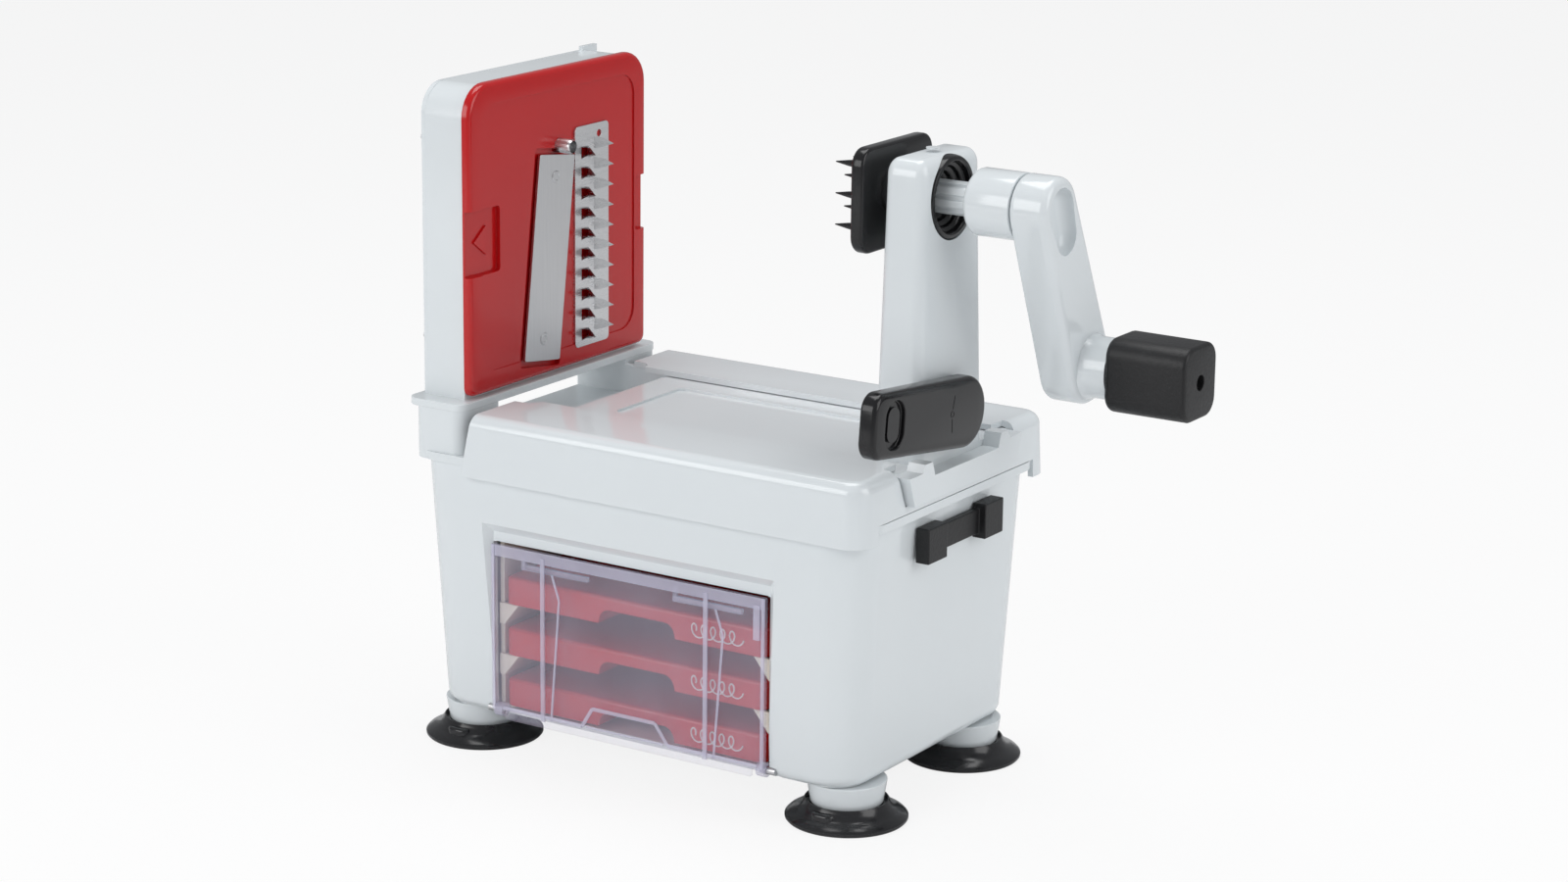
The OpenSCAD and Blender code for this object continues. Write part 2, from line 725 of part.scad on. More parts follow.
housing();
base_plate();
slide_bed();
hood();
foot_bosses();
suction_cups();
cup_screws();
rack_left();
rack_right();
spare_cassettes();
spare_blades();
door_pins();
door();
lock_slider();
sliding_board();
post();
post_screws();
bearing_ring();
lever_pin();
clamp_lever();
drive_shaft();
shaft_clip();
food_holder();
crank_hub();
crank_arm();
grip_axle();
axle_screw();
grip();
blade_frame();
frame_cover();
cover_screws();
cassette();
straight_blade();
blade_rivets();
comb_plate();
core_cutter();
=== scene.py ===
"""Hand-cranked spiral vegetable slicer in glossy white plastic, with red blade cassettes.

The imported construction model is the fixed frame. Each section below makes one piece of the
machine, or a group of like pieces, with its sizes, finish and mesh together. Metres throughout.
"""
import json
import math

import bmesh
import bpy
from mathutils import Matrix, Vector

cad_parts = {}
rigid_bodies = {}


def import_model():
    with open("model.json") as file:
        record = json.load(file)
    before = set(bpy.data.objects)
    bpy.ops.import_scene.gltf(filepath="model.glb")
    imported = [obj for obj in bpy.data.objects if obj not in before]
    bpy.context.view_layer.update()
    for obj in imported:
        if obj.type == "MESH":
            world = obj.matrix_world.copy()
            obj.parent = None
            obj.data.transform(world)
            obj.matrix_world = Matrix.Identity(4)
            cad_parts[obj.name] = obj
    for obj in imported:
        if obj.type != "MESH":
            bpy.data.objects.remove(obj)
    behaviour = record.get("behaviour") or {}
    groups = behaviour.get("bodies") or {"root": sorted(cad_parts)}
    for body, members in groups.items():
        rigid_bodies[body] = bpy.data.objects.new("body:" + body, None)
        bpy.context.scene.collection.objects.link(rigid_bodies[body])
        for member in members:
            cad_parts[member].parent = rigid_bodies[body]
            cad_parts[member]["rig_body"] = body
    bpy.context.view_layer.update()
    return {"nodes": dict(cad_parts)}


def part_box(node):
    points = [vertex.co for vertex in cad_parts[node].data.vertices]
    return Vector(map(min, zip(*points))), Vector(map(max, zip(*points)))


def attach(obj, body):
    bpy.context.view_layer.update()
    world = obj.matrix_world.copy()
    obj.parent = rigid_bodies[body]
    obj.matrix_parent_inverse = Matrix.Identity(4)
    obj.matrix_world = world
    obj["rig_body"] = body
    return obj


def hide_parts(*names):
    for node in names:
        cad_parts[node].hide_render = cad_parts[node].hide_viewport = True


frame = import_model()
MM = 0.001


# ---- Camera, light and floor ----
# A long lens looks down on the front right corner. The floor is pale and keeps a soft shadow.

def aim(yaw, pitch, roll):
    yaw, pitch, roll = (math.radians(a) for a in (yaw, pitch, roll))
    ahead = Vector((-math.sin(yaw) * math.cos(pitch), math.cos(yaw) * math.cos(pitch), -math.sin(pitch)))
    level = Vector((math.cos(yaw), math.sin(yaw), 0))
    rise = level.cross(ahead)
    right = math.cos(roll) * level + math.sin(roll) * rise
    up = -math.sin(roll) * level + math.cos(roll) * rise
    return Matrix((right, up, -ahead)).transposed()


camera_data = bpy.data.cameras.new("camera")
camera_data.sensor_width = 36
camera_data.lens = 85.95
camera = bpy.data.objects.new("camera", camera_data)
camera.matrix_world = Matrix.Translation((0.8011, -1.2043, 0.5116)) @ aim(32.68, 14.87, 0.68).to_4x4()
bpy.context.scene.collection.objects.link(camera)
bpy.context.scene.camera = camera
bpy.context.scene.view_settings.view_transform = "Standard"


def panel_light(name, place, target, width, height, watts):
    data = bpy.data.lights.new(name, "AREA")
    data.shape = "RECTANGLE"
    data.size = width
    data.size_y = height
    data.energy = watts
    light = bpy.data.objects.new(name, data)
    facing = (Vector(target) - Vector(place)).to_track_quat("-Z", "Y")
    light.matrix_world = Matrix.Translation(place) @ facing.to_matrix().to_4x4()
    bpy.context.scene.collection.objects.link(light)


panel_light("side_panel", (1.5, 0.15, 0.75), (0.05, 0, 0.12), 0.9, 1.2, 8)
panel_light("front_panel", (-0.5, -1.5, 0.7), (0, 0, 0.12), 1.2, 0.9, 11)
panel_light("top_panel", (-0.1, 0.2, 1.5), (0.03, 0, 0.1), 1.0, 0.8, 9)


class Wire:
    """A shader socket that can be added, multiplied and so on."""

    def __init__(self, tree, socket):
        self.tree = tree
        self.socket = socket

    def _math(self, operation, a, b):
        node = self.tree.nodes.new("ShaderNodeMath")
        node.operation = operation
        for slot_, value in zip(node.inputs, (a, b)):
            if isinstance(value, Wire):
                self.tree.links.new(value.socket, slot_)
            else:
                slot_.default_value = value
        return Wire(self.tree, node.outputs[0])

    def __add__(self, other):
        return self._math("ADD", self, other)

    def __sub__(self, other):
        return self._math("SUBTRACT", self, other)

    def __rsub__(self, other):
        return self._math("SUBTRACT", other, self)

    def __mul__(self, other):
        return self._math("MULTIPLY", self, other)

    def power(self, other):
        return self._math("POWER", self, other)

    __radd__ = __add__
    __rmul__ = __mul__


class Finish:
    """One procedural material, built round a Principled shader."""

    def __init__(self, name, **fixed):
        self.material = bpy.data.materials.new(name)
        self.material.use_nodes = True
        self.tree = self.material.node_tree
        self.shader = self.tree.nodes["Principled BSDF"]
        for key, value in fixed.items():
            self.shader.inputs[key.replace("_", " ")].default_value = value
        self.place = self.node("ShaderNodeTexCoord").socket.node.outputs["Object"]

    def node(self, kind, settings=None, output=0, **inputs):
        made = self.tree.nodes.new(kind)
        for key, value in (settings or {}).items():
            if key == "stops":
                ramp = made.color_ramp
                ramp.elements[0].position, ramp.elements[0].color = value[0]
                ramp.elements[1].position, ramp.elements[1].color = value[-1]
                for position, colour in value[1:-1]:
                    ramp.elements.new(position).color = colour
            else:
                setattr(made, key, value)
        for key, value in inputs.items():
            socket = made.inputs[int(key[1:])] if key[1:].isdigit() else made.inputs[key.replace("_", " ")]
            if isinstance(value, Wire):
                self.tree.links.new(value.socket, socket)
            elif isinstance(value, bpy.types.NodeSocket):
                self.tree.links.new(value, socket)
            else:
                socket.default_value = value
        return Wire(self.tree, made.outputs[output])

    def noise(self, scale, detail=3.0, roughness=0.5, stretch=(1, 1, 1)):
        place = self.node("ShaderNodeMapping", Vector=self.place, Scale=stretch)
        return self.node("ShaderNodeTexNoise", Vector=place, Scale=scale, Detail=detail, Roughness=roughness)

    def drive(self, key, value):
        self.tree.links.new(value.socket, self.shader.inputs[key.replace("_", " ")])

    def blend(self, factor, low, high):
        return self.node("ShaderNodeMix", {"data_type": "RGBA"}, 2, Factor=factor, i6=low, i7=high)

    def bump(self, height, distance, strength=1.0):
        normal = self.node("ShaderNodeBump", Height=height, Distance=distance, Strength=strength)
        self.drive("Normal", normal)


def srgb(r, g, b):
    return tuple(((c / 255 + 0.055) / 1.055) ** 2.4 if c > 10 else c / 255 / 12.92 for c in (r, g, b)) + (1.0,)


floor_finish = Finish("floor_paint", Roughness=0.9)
floor_finish.shader.inputs["Base Color"].default_value = (0.9, 0.9, 0.9, 1)
floor_finish.drive("Roughness", floor_finish.noise(30) * 0.1 + 0.85)
rays = floor_finish.tree.nodes.new("ShaderNodeLightPath")
seen = Wire(floor_finish.tree, rays.outputs["Is Camera Ray"])
glow = floor_finish.node("ShaderNodeEmission", Color=(1, 1, 1, 1), Strength=1.0)
paper = floor_finish.node("ShaderNodeMixShader", i0=seen * 0.85, i1=floor_finish.shader.outputs[0], i2=glow)
floor_finish.tree.links.new(paper.socket, floor_finish.tree.nodes["Material Output"].inputs["Surface"])
floor_mesh = bmesh.new()
bmesh.ops.create_grid(floor_mesh, x_segments=1, y_segments=1, size=14)
floor_data = bpy.data.meshes.new("floor")
floor_mesh.to_mesh(floor_data)
floor = bpy.data.objects.new("floor", floor_data)
floor.data.materials.append(floor_finish.material)
bpy.context.scene.collection.objects.link(floor)

world = bpy.data.worlds.new("studio")
bpy.context.scene.world = world
world.use_nodes = True
sky = world.node_tree
backdrop = sky.nodes["Background"]
backdrop.inputs["Color"].default_value = (0.95, 0.97, 1.0, 1)
rays = sky.nodes.new("ShaderNodeLightPath")
seen = Wire(sky, rays.outputs["Is Camera Ray"])
sky.links.new((seen * 0.62 + 0.38).socket, backdrop.inputs["Strength"])


# ---- White housing ----
# The tub of the base: one injection moulding in glossy white ABS with leaning sides, rounded
# corners, and a doorway in front with a slanted finger recess above it.

def white_gloss():
    made = Finish("white_gloss_plastic", Coat_Roughness=0.08, IOR=1.48)
    cloud = made.noise(9.0, 2.0)
    speck = made.noise(420.0, 2.0)
    made.drive("Base_Color", made.blend(cloud, srgb(219, 225, 228), srgb(226, 231, 233)))
    made.drive("Roughness", cloud * 0.1 + speck * 0.04 + 0.08)
    made.shader.inputs["Coat Weight"].default_value = 0.35
    made.bump(made.noise(55.0, 2.0) * 0.7 + speck * 0.12, 0.00006)
    return made.material


white = white_gloss()


def span(low, high):
    return tuple(zip(low, high))


def box_mesh(low, high, upright=0, top=0, foot=0, steps=6):
    """A box whose upright, top and foot edges are rounded to the given radii."""
    made = bmesh.new()
    bmesh.ops.create_cube(made, size=1)
    low, high = Vector(low), Vector(high)
    for point in made.verts:
        point.co = Vector(low[i] + (point.co[i] + 0.5) * (high[i] - low[i]) for i in range(3))

    def soften(edges, radius):
        if radius > 0:
            bmesh.ops.bevel(made, geom=edges, offset=radius, offset_type="OFFSET", segments=steps,
                            profile=0.5, affect="EDGES", material=-1, clamp_overlap=True)

    soften([e for e in made.edges if abs(e.verts[0].co.z - e.verts[1].co.z) > 1e-6], upright)
    made.normal_update()
    for level, radius in ((high.z, top), (low.z, foot)):
        soften([e for e in made.edges if all(abs(v.co.z - level) < 1e-6 for v in e.verts)
                and any(abs(f.normal.z) < 0.5 for f in e.link_faces)], radius)
    return made


def lean(made, centre, low_z, high_z, low_scale, high_scale=(1, 1)):
    """Scales each level of a mesh about a centre line, from one end of its height to the other."""
    for point in made.verts:
        t = (point.co.z - low_z) / (high_z - low_z)
        for i in range(2):
            grow = low_scale[i] + t * (high_scale[i] - low_scale[i])
            point.co[i] = centre[i] + (point.co[i] - centre[i]) * grow


def put(name, made):
    bmesh.ops.recalc_face_normals(made, faces=made.faces)
    data = bpy.data.meshes.new(name)
    made.to_mesh(data)
    made.free()
    piece = bpy.data.objects.new(name, data)
    bpy.context.scene.collection.objects.link(piece)
    return piece


def carve(piece, *cutters, operation="DIFFERENCE"):
    """Cuts meshes out of a piece, or joins them to it, and keeps the result as its mesh."""
    helpers = []
    for cutter in cutters:
        helper = cutter if isinstance(cutter, bpy.types.Object) else put(piece.name + "_tool", cutter)
        helpers.append(helper)
        step = piece.modifiers.new("cut", "BOOLEAN")
        step.operation = operation
        step.solver = "EXACT"
        step.object = helper
    bpy.context.view_layer.update()
    seen_now = piece.evaluated_get(bpy.context.evaluated_depsgraph_get())
    data = bpy.data.meshes.new_from_object(seen_now)
    piece.modifiers.clear()
    piece.data = data
    for helper in helpers:
        bpy.data.objects.remove(helper)


def dress(piece, finish, body, slot, *nodes, edge=0.4 * MM, sharp=32, segments=3):
    """Smooths a piece, rounds its sharp edges, and gives it its finish, body and place."""
    made = bmesh.new()
    made.from_mesh(piece.data)
    bmesh.ops.remove_doubles(made, verts=made.verts, dist=1e-6)
    bmesh.ops.dissolve_degenerate(made, dist=1e-6, edges=made.edges)
    for face in made.faces:
        face.smooth = True
        face.material_index = 0
    for line in made.edges:
        line.smooth = not (len(line.link_faces) == 2 and line.calc_face_angle(0) > math.radians(sharp))
    made.to_mesh(piece.data)
    made.free()
    piece.data.materials.clear()
    piece.data.materials.append(finish)
    if edge:
        bevel = piece.modifiers.new("edge", "BEVEL")
        bevel.width = edge
        bevel.segments = segments
        bevel.limit_method = "ANGLE"
        bevel.angle_limit = math.radians(sharp)
        bevel.harden_normals = True
        bevel.use_clamp_overlap = True
    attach(piece, body)
    if nodes:
        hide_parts(*nodes)
    return piece


low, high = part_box("housing")
base_low, base_high = low, high
draft = 5 * MM
wall = 2.4 * MM
mid_x = (low.x + high.x) / 2
half_x, half_y = (high.x - low.x) / 2, (high.y - low.y) / 2
door_low, door_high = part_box("door")
bay_left, bay_right, bay_top = door_low.x - 0.9 * MM, door_high.x + 0.9 * MM, door_high.z + 1.7 * MM
tub = box_mesh(low, high, upright=17 * MM, foot=5 * MM, steps=8)
lean(tub, (mid_x, 0), low.z, high.z, (1 - draft / half_x, 1 - draft / half_y))
housing = put("housing_shell", tub)
room = box_mesh(low + Vector((wall, wall, -0.01)), high + Vector((-wall, -wall, 0.01)), upright=14 * MM)
lean(room, (mid_x, 0), low.z, high.z, (1 - draft / half_x, 1 - draft / half_y))
doorway = box_mesh((bay_left, low.y - 0.01, 0), (bay_right, low.y + 0.02, door_high.z + 0.4 * MM))
recess = bmesh.new()
bmesh.ops.create_cube(recess, size=1)
for point in recess.verts:
    deep = point.co.y > 0
    left, right, top = (bay_left, bay_right, bay_top + 3 * MM) if deep else (
        bay_left - 6.5 * MM, bay_right + 6.5 * MM, bay_top + 9.6 * MM)
    point.co = Vector((left if point.co.x < 0 else right, low.y + (4.2 * MM if deep else -1.6 * MM),
                       0 if point.co.z < 0 else top))
slider_low, slider_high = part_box("lock_slider")
slot_cut = box_mesh((high.x - 0.01, slider_low.y + 8 * MM, slider_low.z + 4.5 * MM),
                    (high.x + 0.01, slider_high.y - 6 * MM, slider_high.z - 4.5 * MM))
pocket = box_mesh((high.x - 1.6 * MM, slider_low.y - 9 * MM, slider_low.z + 0.4 * MM),
                  (high.x + 0.01, slider_high.y + 1.5 * MM, slider_high.z + 0.6 * MM))
jambs = [box_mesh((bay_left - 8 * MM, low.y + 1 * MM, low.z + 2 * MM), (bay_left + 1 * MM, low.y + 6.6 * MM, bay_top + 12 * MM)),
         box_mesh((bay_right - 1 * MM, low.y + 1 * MM, low.z + 2 * MM), (bay_right + 8 * MM, low.y + 6.6 * MM, bay_top + 12 * MM)),
         box_mesh((bay_left, low.y + 1 * MM, bay_top - 1 * MM), (bay_right, low.y + 6.6 * MM, bay_top + 12 * MM))]
for block in jambs:
    for point in block.verts:
        point.co.y += draft * max(0.0, 1 - (point.co.z - low.z) / (high.z - low.z)) if point.co.y < low.y + 3 * MM else 0
carve(housing, room)
carve(housing, *jambs, operation="UNION")
carve(housing, doorway, recess, slot_cut)
dress(housing, white, "base", "white_plastic", "housing", edge=0.7 * MM)


# ---- Mouldings that keep their construction shape ----
# Plain mouldings and turned parts need only rounded edges and their finish, so each is a copy
# of its construction solid with its flat faces merged and its edges softened.

def softened(node, finish, slot, edge=0.4 * MM, sharp=32):
    source = frame["nodes"][node]
    made = bmesh.new()
    made.from_mesh(source.data)
    bmesh.ops.remove_doubles(made, verts=made.verts, dist=2e-6)
    bmesh.ops.dissolve_limit(made, angle_limit=math.radians(0.6), verts=made.verts, edges=made.edges)
    data = bpy.data.meshes.new(node + "_soft")
    made.to_mesh(data)
    made.free()
    piece = bpy.data.objects.new(node + "_soft", data)
    bpy.context.scene.collection.objects.link(piece)
    return dress(piece, finish, source["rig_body"], slot, node, edge=edge, sharp=sharp)


softened("slide_bed", white, "white_plastic", 0.6 * MM)
softened("base_plate", white, "white_plastic", 0.3 * MM)
softened("foot_bosses", white, "white_plastic", 0.5 * MM)
softened("frame_cover", white, "white_plastic", 0.5 * MM)


# ---- Hood ----
# The glossy cover over the board's channel, with a skirt all round, lips along the channel and
# a notch in its right end that the board's end panel closes.

low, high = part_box("hood")
hood_low, hood_high = low, high
board_low, board_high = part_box("sliding_board")
bed_low, bed_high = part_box("slide_bed")
lip_half = 36.1 * MM
bed_floor = 126.7 * MM
lip_low = high.z - 2.4 * MM
shell = box_mesh(low - Vector((14 * MM, 0, 0)), high, upright=9 * MM, top=5 * MM, steps=8)
lean(shell, ((low.x + high.x) / 2, 0), low.z, high.z, (1, 1), (0.991, 0.985))
hood = put("hood_cover", shell)
room = box_mesh((low.x - 0.02, low.y + wall, low.z - 0.01), (high.x - wall, high.y - wall, lip_low), upright=7 * MM,
                top=3 * MM)
lean(room, ((low.x + high.x) / 2, 0), low.z, high.z, (1, 1), (0.991, 0.985))
channel = box_mesh((low.x - 0.02, -lip_half, low.z - 0.01), (high.x - 4 * MM, lip_half, high.z + 0.01))
mouth = box_mesh((low.x - 0.02, -lip_half - 5.5 * MM, low.z - 0.01), (low.x + 14 * MM, lip_half + 5.5 * MM, high.z + 0.01),
                 upright=5.4 * MM)
notch = bmesh.new()
bmesh.ops.create_cube(notch, size=1)
for point in notch.verts:
    wide = 45.6 * MM if point.co.z > 0 else 39.3 * MM
    point.co = Vector((high.x + (0.02 if point.co.x > 0 else -7 * MM), wide * (1 if point.co.y > 0 else -1),
                       high.z + 0.0015 if point.co.z > 0 else bed_floor))
lift = box_mesh((high.x - 8 * MM, low.y + 13 * MM, low.z - 0.01), (high.x + 0.01, high.y - 13 * MM, bed_low.z + 3.7 * MM))
trim = bmesh.new()
bmesh.ops.create_cube(trim, size=1)
for point in trim.verts:
    edge_x = low.x + (5 * MM if point.co.z > 0 else 0)
    point.co = Vector((edge_x if point.co.x > 0 else low.x - 0.05, 0.1 if point.co.y > 0 else -0.1,
                       high.z + 1 * MM if point.co.z > 0 else low.z - 1 * MM))
carve(hood, room, channel, mouth, notch, lift, trim)
dress(hood, white, "base", "white_plastic", "hood", edge=0.5 * MM)


# ---- Suction cups ----
# Soft black rubber discs with a thin rim, a domed top and a pull tab, pushed over the bosses.

def rubber():
    made = Finish("black_cup_rubber", Base_Color=(0.012, 0.012, 0.013, 1))
    dust = made.noise(60.0, 4.0)
    made.drive("Base_Color", made.blend(dust, (0.008, 0.008, 0.009, 1), (0.022, 0.022, 0.024, 1)))
    made.drive("Roughness", dust * 0.15 + 0.1)
    made.bump(made.noise(300.0), 0.00004)
    return made.material


def lathe(profile, place, axis, steps=64):
    """Spins a profile of (radius, distance along the axis) about X or Z at a place."""
    made = bmesh.new()
    points = [made.verts.new((r, 0, d)) for r, d in profile]
    lines = [made.edges.new(pair) for pair in zip(points, points[1:])]
    bmesh.ops.spin(made, geom=points + lines, cent=(0, 0, 0), axis=(0, 0, 1), angle=math.tau,
                   steps=steps, use_merge=True)
    bmesh.ops.remove_doubles(made, verts=made.verts, dist=1e-6)
    if axis == "X":
        bmesh.ops.rotate(made, verts=made.verts, cent=(0, 0, 0), matrix=Matrix.Rotation(math.pi / 2, 3, "Y"))
    bmesh.ops.translate(made, verts=made.verts, vec=place)
    return made


def gather(name, meshes):
    """Joins separate meshes into one piece."""
    whole = bmesh.new()
    for part in meshes:
        bmesh.ops.recalc_face_normals(part, faces=part.faces)
        data = bpy.data.meshes.new("part")
        part.to_mesh(data)
        part.free()
        whole.from_mesh(data)
        bpy.data.meshes.remove(data)
    data = bpy.data.meshes.new(name)
    whole.to_mesh(data)
    whole.free()
    piece = bpy.data.objects.new(name, data)
    bpy.context.scene.collection.objects.link(piece)
    return piece


cups_low, cups_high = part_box("suction_cups")
cup_r = 24 * MM
foot_x, foot_y = cups_high.x - cup_r, cups_high.y - cup_r
cup_profile = [(0, 6.5), (0, 4.6), (9, 4.4), (20, 1.8), (21.4, 0), (23.4, 0), (24, 0.7), (24, 1.6), (23, 2.6),
               (20.6, 3.8), (18, 5.2), (17, 7.2), (16.3, 8.2), (15.9, 8.2), (15.5, 7.2), (15.2, 6.5), (0, 6.5)]
cups = []
for sx in (-1, 1):
    for sy in (-1, 1):
        cups.append(lathe([(r * MM, d * MM) for r, d in cup_profile], (sx * foot_x, sy * foot_y, 0), "Z"))
        tab = box_mesh((sx * foot_x - 5 * MM, sy * foot_y + sy * 15 * MM - 5 * MM, 2.2 * MM),
                       (sx * foot_x + 5 * MM, sy * foot_y + sy * 15 * MM + 5 * MM, 6.8 * MM), upright=3 * MM, top=1.2 * MM,
                       steps=4)
        cups.append(tab)
cup_rubber = rubber()
dress(gather("rubber_cups", cups), cup_rubber, "base", "black_rubber", "suction_cups", edge=0, sharp=40)


# ---- Clear door ----
# A clear polypropylene flap with two ribs, a finger tab, latch hooks at the top and hinge lugs
# at its lower corners. It is moulded in one piece.

def clear_plastic(name, alpha, rough):
    made = Finish(name, Base_Color=(0.72, 0.7, 0.86, 1), IOR=1.46, Specular_IOR_Level=0.6)
    haze = made.noise(38.0, 3.0)
    made.drive("Alpha", haze * 0.1 + (alpha - 0.05))
    made.drive("Roughness", haze * 0.12 + rough)
    made.bump(made.noise(70.0, 2.0), 0.00008)
    return made.material


door_film = clear_plastic("clear_door_plastic", 0.15, 0.06)
rib_film = clear_plastic("clear_rib_plastic", 0.42, 0.1)
low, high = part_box("door")
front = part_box("housing")[0].y + 2 * MM
sheet_t = 2 * MM
leaf = put("door_leaf", box_mesh((low.x, front, low.z + 3.1 * MM), (high.x, front + sheet_t, high.z)))
carve(leaf, box_mesh((low.x + 6 * MM, front, low.z), (high.x - 6 * MM, front + sheet_t, low.z + 3.1 * MM)),
      operation="UNION")
dress(leaf, door_film, "door", "clear_plastic", "door", edge=0.4 * MM)
ribs = []


def rib(x0, x1, z0, z1, out=0.8 * MM, y=front):
    ribs.append(box_mesh((min(x0, x1), y - out, min(z0, z1)), (max(x0, x1), y, max(z0, z1))))


def slanted_rib(x0, z0, x1, z1, width=1.1 * MM, out=0.5 * MM):
    made = box_mesh((0, front - out, -width / 2), (math.hypot(x1 - x0, z1 - z0), front, width / 2))
    bmesh.ops.rotate(made, verts=made.verts, cent=(0, 0, 0), matrix=Matrix.Rotation(-math.atan2(z1 - z0, x1 - x0), 3, "Y"))
    bmesh.ops.translate(made, verts=made.verts, vec=(x0, 0, z0))
    ribs.append(made)


for x in (low.x + 24 * MM, high.x - 28 * MM):
    rib(x, x + 2 * MM, low.z + 3 * MM, high.z - 2 * MM)
    slanted_rib(x + 5 * MM, low.z + 4 * MM, x + 9 * MM, high.z - 18 * MM)
    slanted_rib(x + 9 * MM, high.z - 18 * MM, x + 5.5 * MM, high.z - 8 * MM)
rib(low.x, low.x + 1.4 * MM, low.z + 4 * MM, high.z)
rib(high.x - 1.4 * MM, high.x, low.z + 4 * MM, high.z)
rib(low.x, high.x, high.z - 4.6 * MM, high.z, 0.4 * MM)
tab_z = low.z + 5 * MM
slanted_rib(low.x + 5 * MM, tab_z, low.x + 44 * MM, tab_z, 1.6 * MM)
slanted_rib(low.x + 44 * MM, tab_z, low.x + 49 * MM, tab_z + 8 * MM, 1.6 * MM)
slanted_rib(low.x + 49 * MM, tab_z + 8 * MM, low.x + 79 * MM, tab_z + 8 * MM, 1.6 * MM)
slanted_rib(low.x + 79 * MM, tab_z + 8 * MM, low.x + 85 * MM, tab_z, 1.6 * MM)
slanted_rib(low.x + 85 * MM, tab_z, high.x - 3 * MM, tab_z, 1.6 * MM)
slanted_rib(low.x + 46 * MM, tab_z, low.x + 83 * MM, tab_z, 0.8 * MM)
for x in (low.x + 13 * MM, high.x - 44 * MM):
    ribs.append(box_mesh((x, front + sheet_t, high.z - 9 * MM), (x + 32 * MM, front + sheet_t + 1.6 * MM, high.z - 7 * MM)))
    ribs.append(box_mesh((x, front + sheet_t, high.z - 9 * MM), (x + 1.5 * MM, front + sheet_t + 1.6 * MM, high.z - 3 * MM)))
ribs.append(box_mesh((high.x - 5 * MM, front - 0.8 * MM, high.z - 17 * MM), (high.x - 2 * MM, front, high.z - 3 * MM)))
pin_z = low.z + 3.1 * MM
for x in (low.x, high.x - 4 * MM):
    ribs.append(lathe([(1.62 * MM, 0), (2.9 * MM, 0), (2.9 * MM, 4 * MM), (1.62 * MM, 4 * MM), (1.62 * MM, 0)],
                      (x, front + 3.1 * MM, pin_z), "X", 32))
dress(gather("door_ribs", ribs), rib_film, "door", "clear_plastic", edge=0.25 * MM)


# ---- Cassette rack ----
# Two sides moulded in unpigmented cream plastic, each with a shelf for every spare cassette.

def cream_plastic():
    made = Finish("cream_rack_plastic", Subsurface_Weight=0.0)
    cloud = made.noise(40.0)
    made.drive("Base_Color", made.blend(cloud, srgb(222, 214, 200), srgb(232, 226, 214)))
    made.drive("Roughness", cloud * 0.15 + 0.35)
    made.bump(made.noise(240.0), 0.00005)
    return made.material


cream = cream_plastic()
for side in ("rack_left", "rack_right"):
    softened(side, cream, "cream_plastic", 0.3 * MM)
rack_low, rack_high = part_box("rack_left")
spare_low, spare_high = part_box("spare_cassettes")
pitch = 21.3 * MM
wedges = []
for shelf in range(3):
    top = spare_low.z + shelf * pitch - 0.3 * MM
    for x0, x1, way in ((rack_low.x, rack_high.x + 3 * MM, 1), (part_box("rack_right")[1].x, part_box("rack_right")[0].x - 3 * MM, -1)):
        if shelf == 0:
            continue
        made = bmesh.new()
        bmesh.ops.create_cube(made, size=1)
        for point in made.verts:
            wide = x1 if point.co.z > 0 else x0 + way * 2.5 * MM
            point.co = Vector((wide if point.co.x > 0 else x0, spare_low.y + (1 if point.co.y < 0 else 26) * MM,
                               top if point.co.z > 0 else top - 9 * MM))
        wedges.append(made)
dress(gather("rack_wedges", wedges), cream, "base", "cream_plastic", edge=0.5 * MM)


# ---- Blade cassettes ----
# Glossy red mouldings: a dished face plate with finger pockets at both sides, a raised seat for
# the straight blade, and a hollow body that fits the frame. One stands in the frame, three wait
# flat in the bay.

def red_gloss():
    made = Finish("red_gloss_plastic", IOR=1.48)
    cloud = made.noise(14.0, 2.0)
    made.drive("Base_Color", made.blend(cloud, srgb(182, 15, 18), srgb(192, 19, 22)))
    made.drive("Roughness", cloud * 0.08 + 0.13)
    made.shader.inputs["Coat Weight"].default_value = 0.1
    made.bump(made.noise(40.0, 2.0), 0.00008)
    return made.material


red = red_gloss()
low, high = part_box("cassette")
plate_t = 3.6 * MM
face_x = high.x
tall, broad = high.z - low.z, high.y - low.y
cas_mid = (low.z + high.z) / 2


def standing_box(x0, x1, y0, y1, z0, z1, round_, steps=6):
    """A box with corners rounded in the YZ plane."""
    made = box_mesh((z0, y0, x0), (z1, y1, x1), upright=round_, steps=steps)
    for point in made.verts:
        point.co = Vector((point.co.z, point.co.y, point.co.x))
    bmesh.ops.recalc_face_normals(made, faces=made.faces)
    made.normal_update()
    return made


blade_low, blade_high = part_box("straight_blade")
comb_low, comb_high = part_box("comb_plate")
cutter_low, cutter_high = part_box("core_cutter")
blade_mid = (blade_low + blade_high) / 2
turn = math.radians(-7.5)


def tilted(made, angle=turn, centre=blade_mid):
    bmesh.ops.rotate(made, verts=made.verts, cent=centre, matrix=Matrix.Rotation(angle, 3, "X"))
    return made


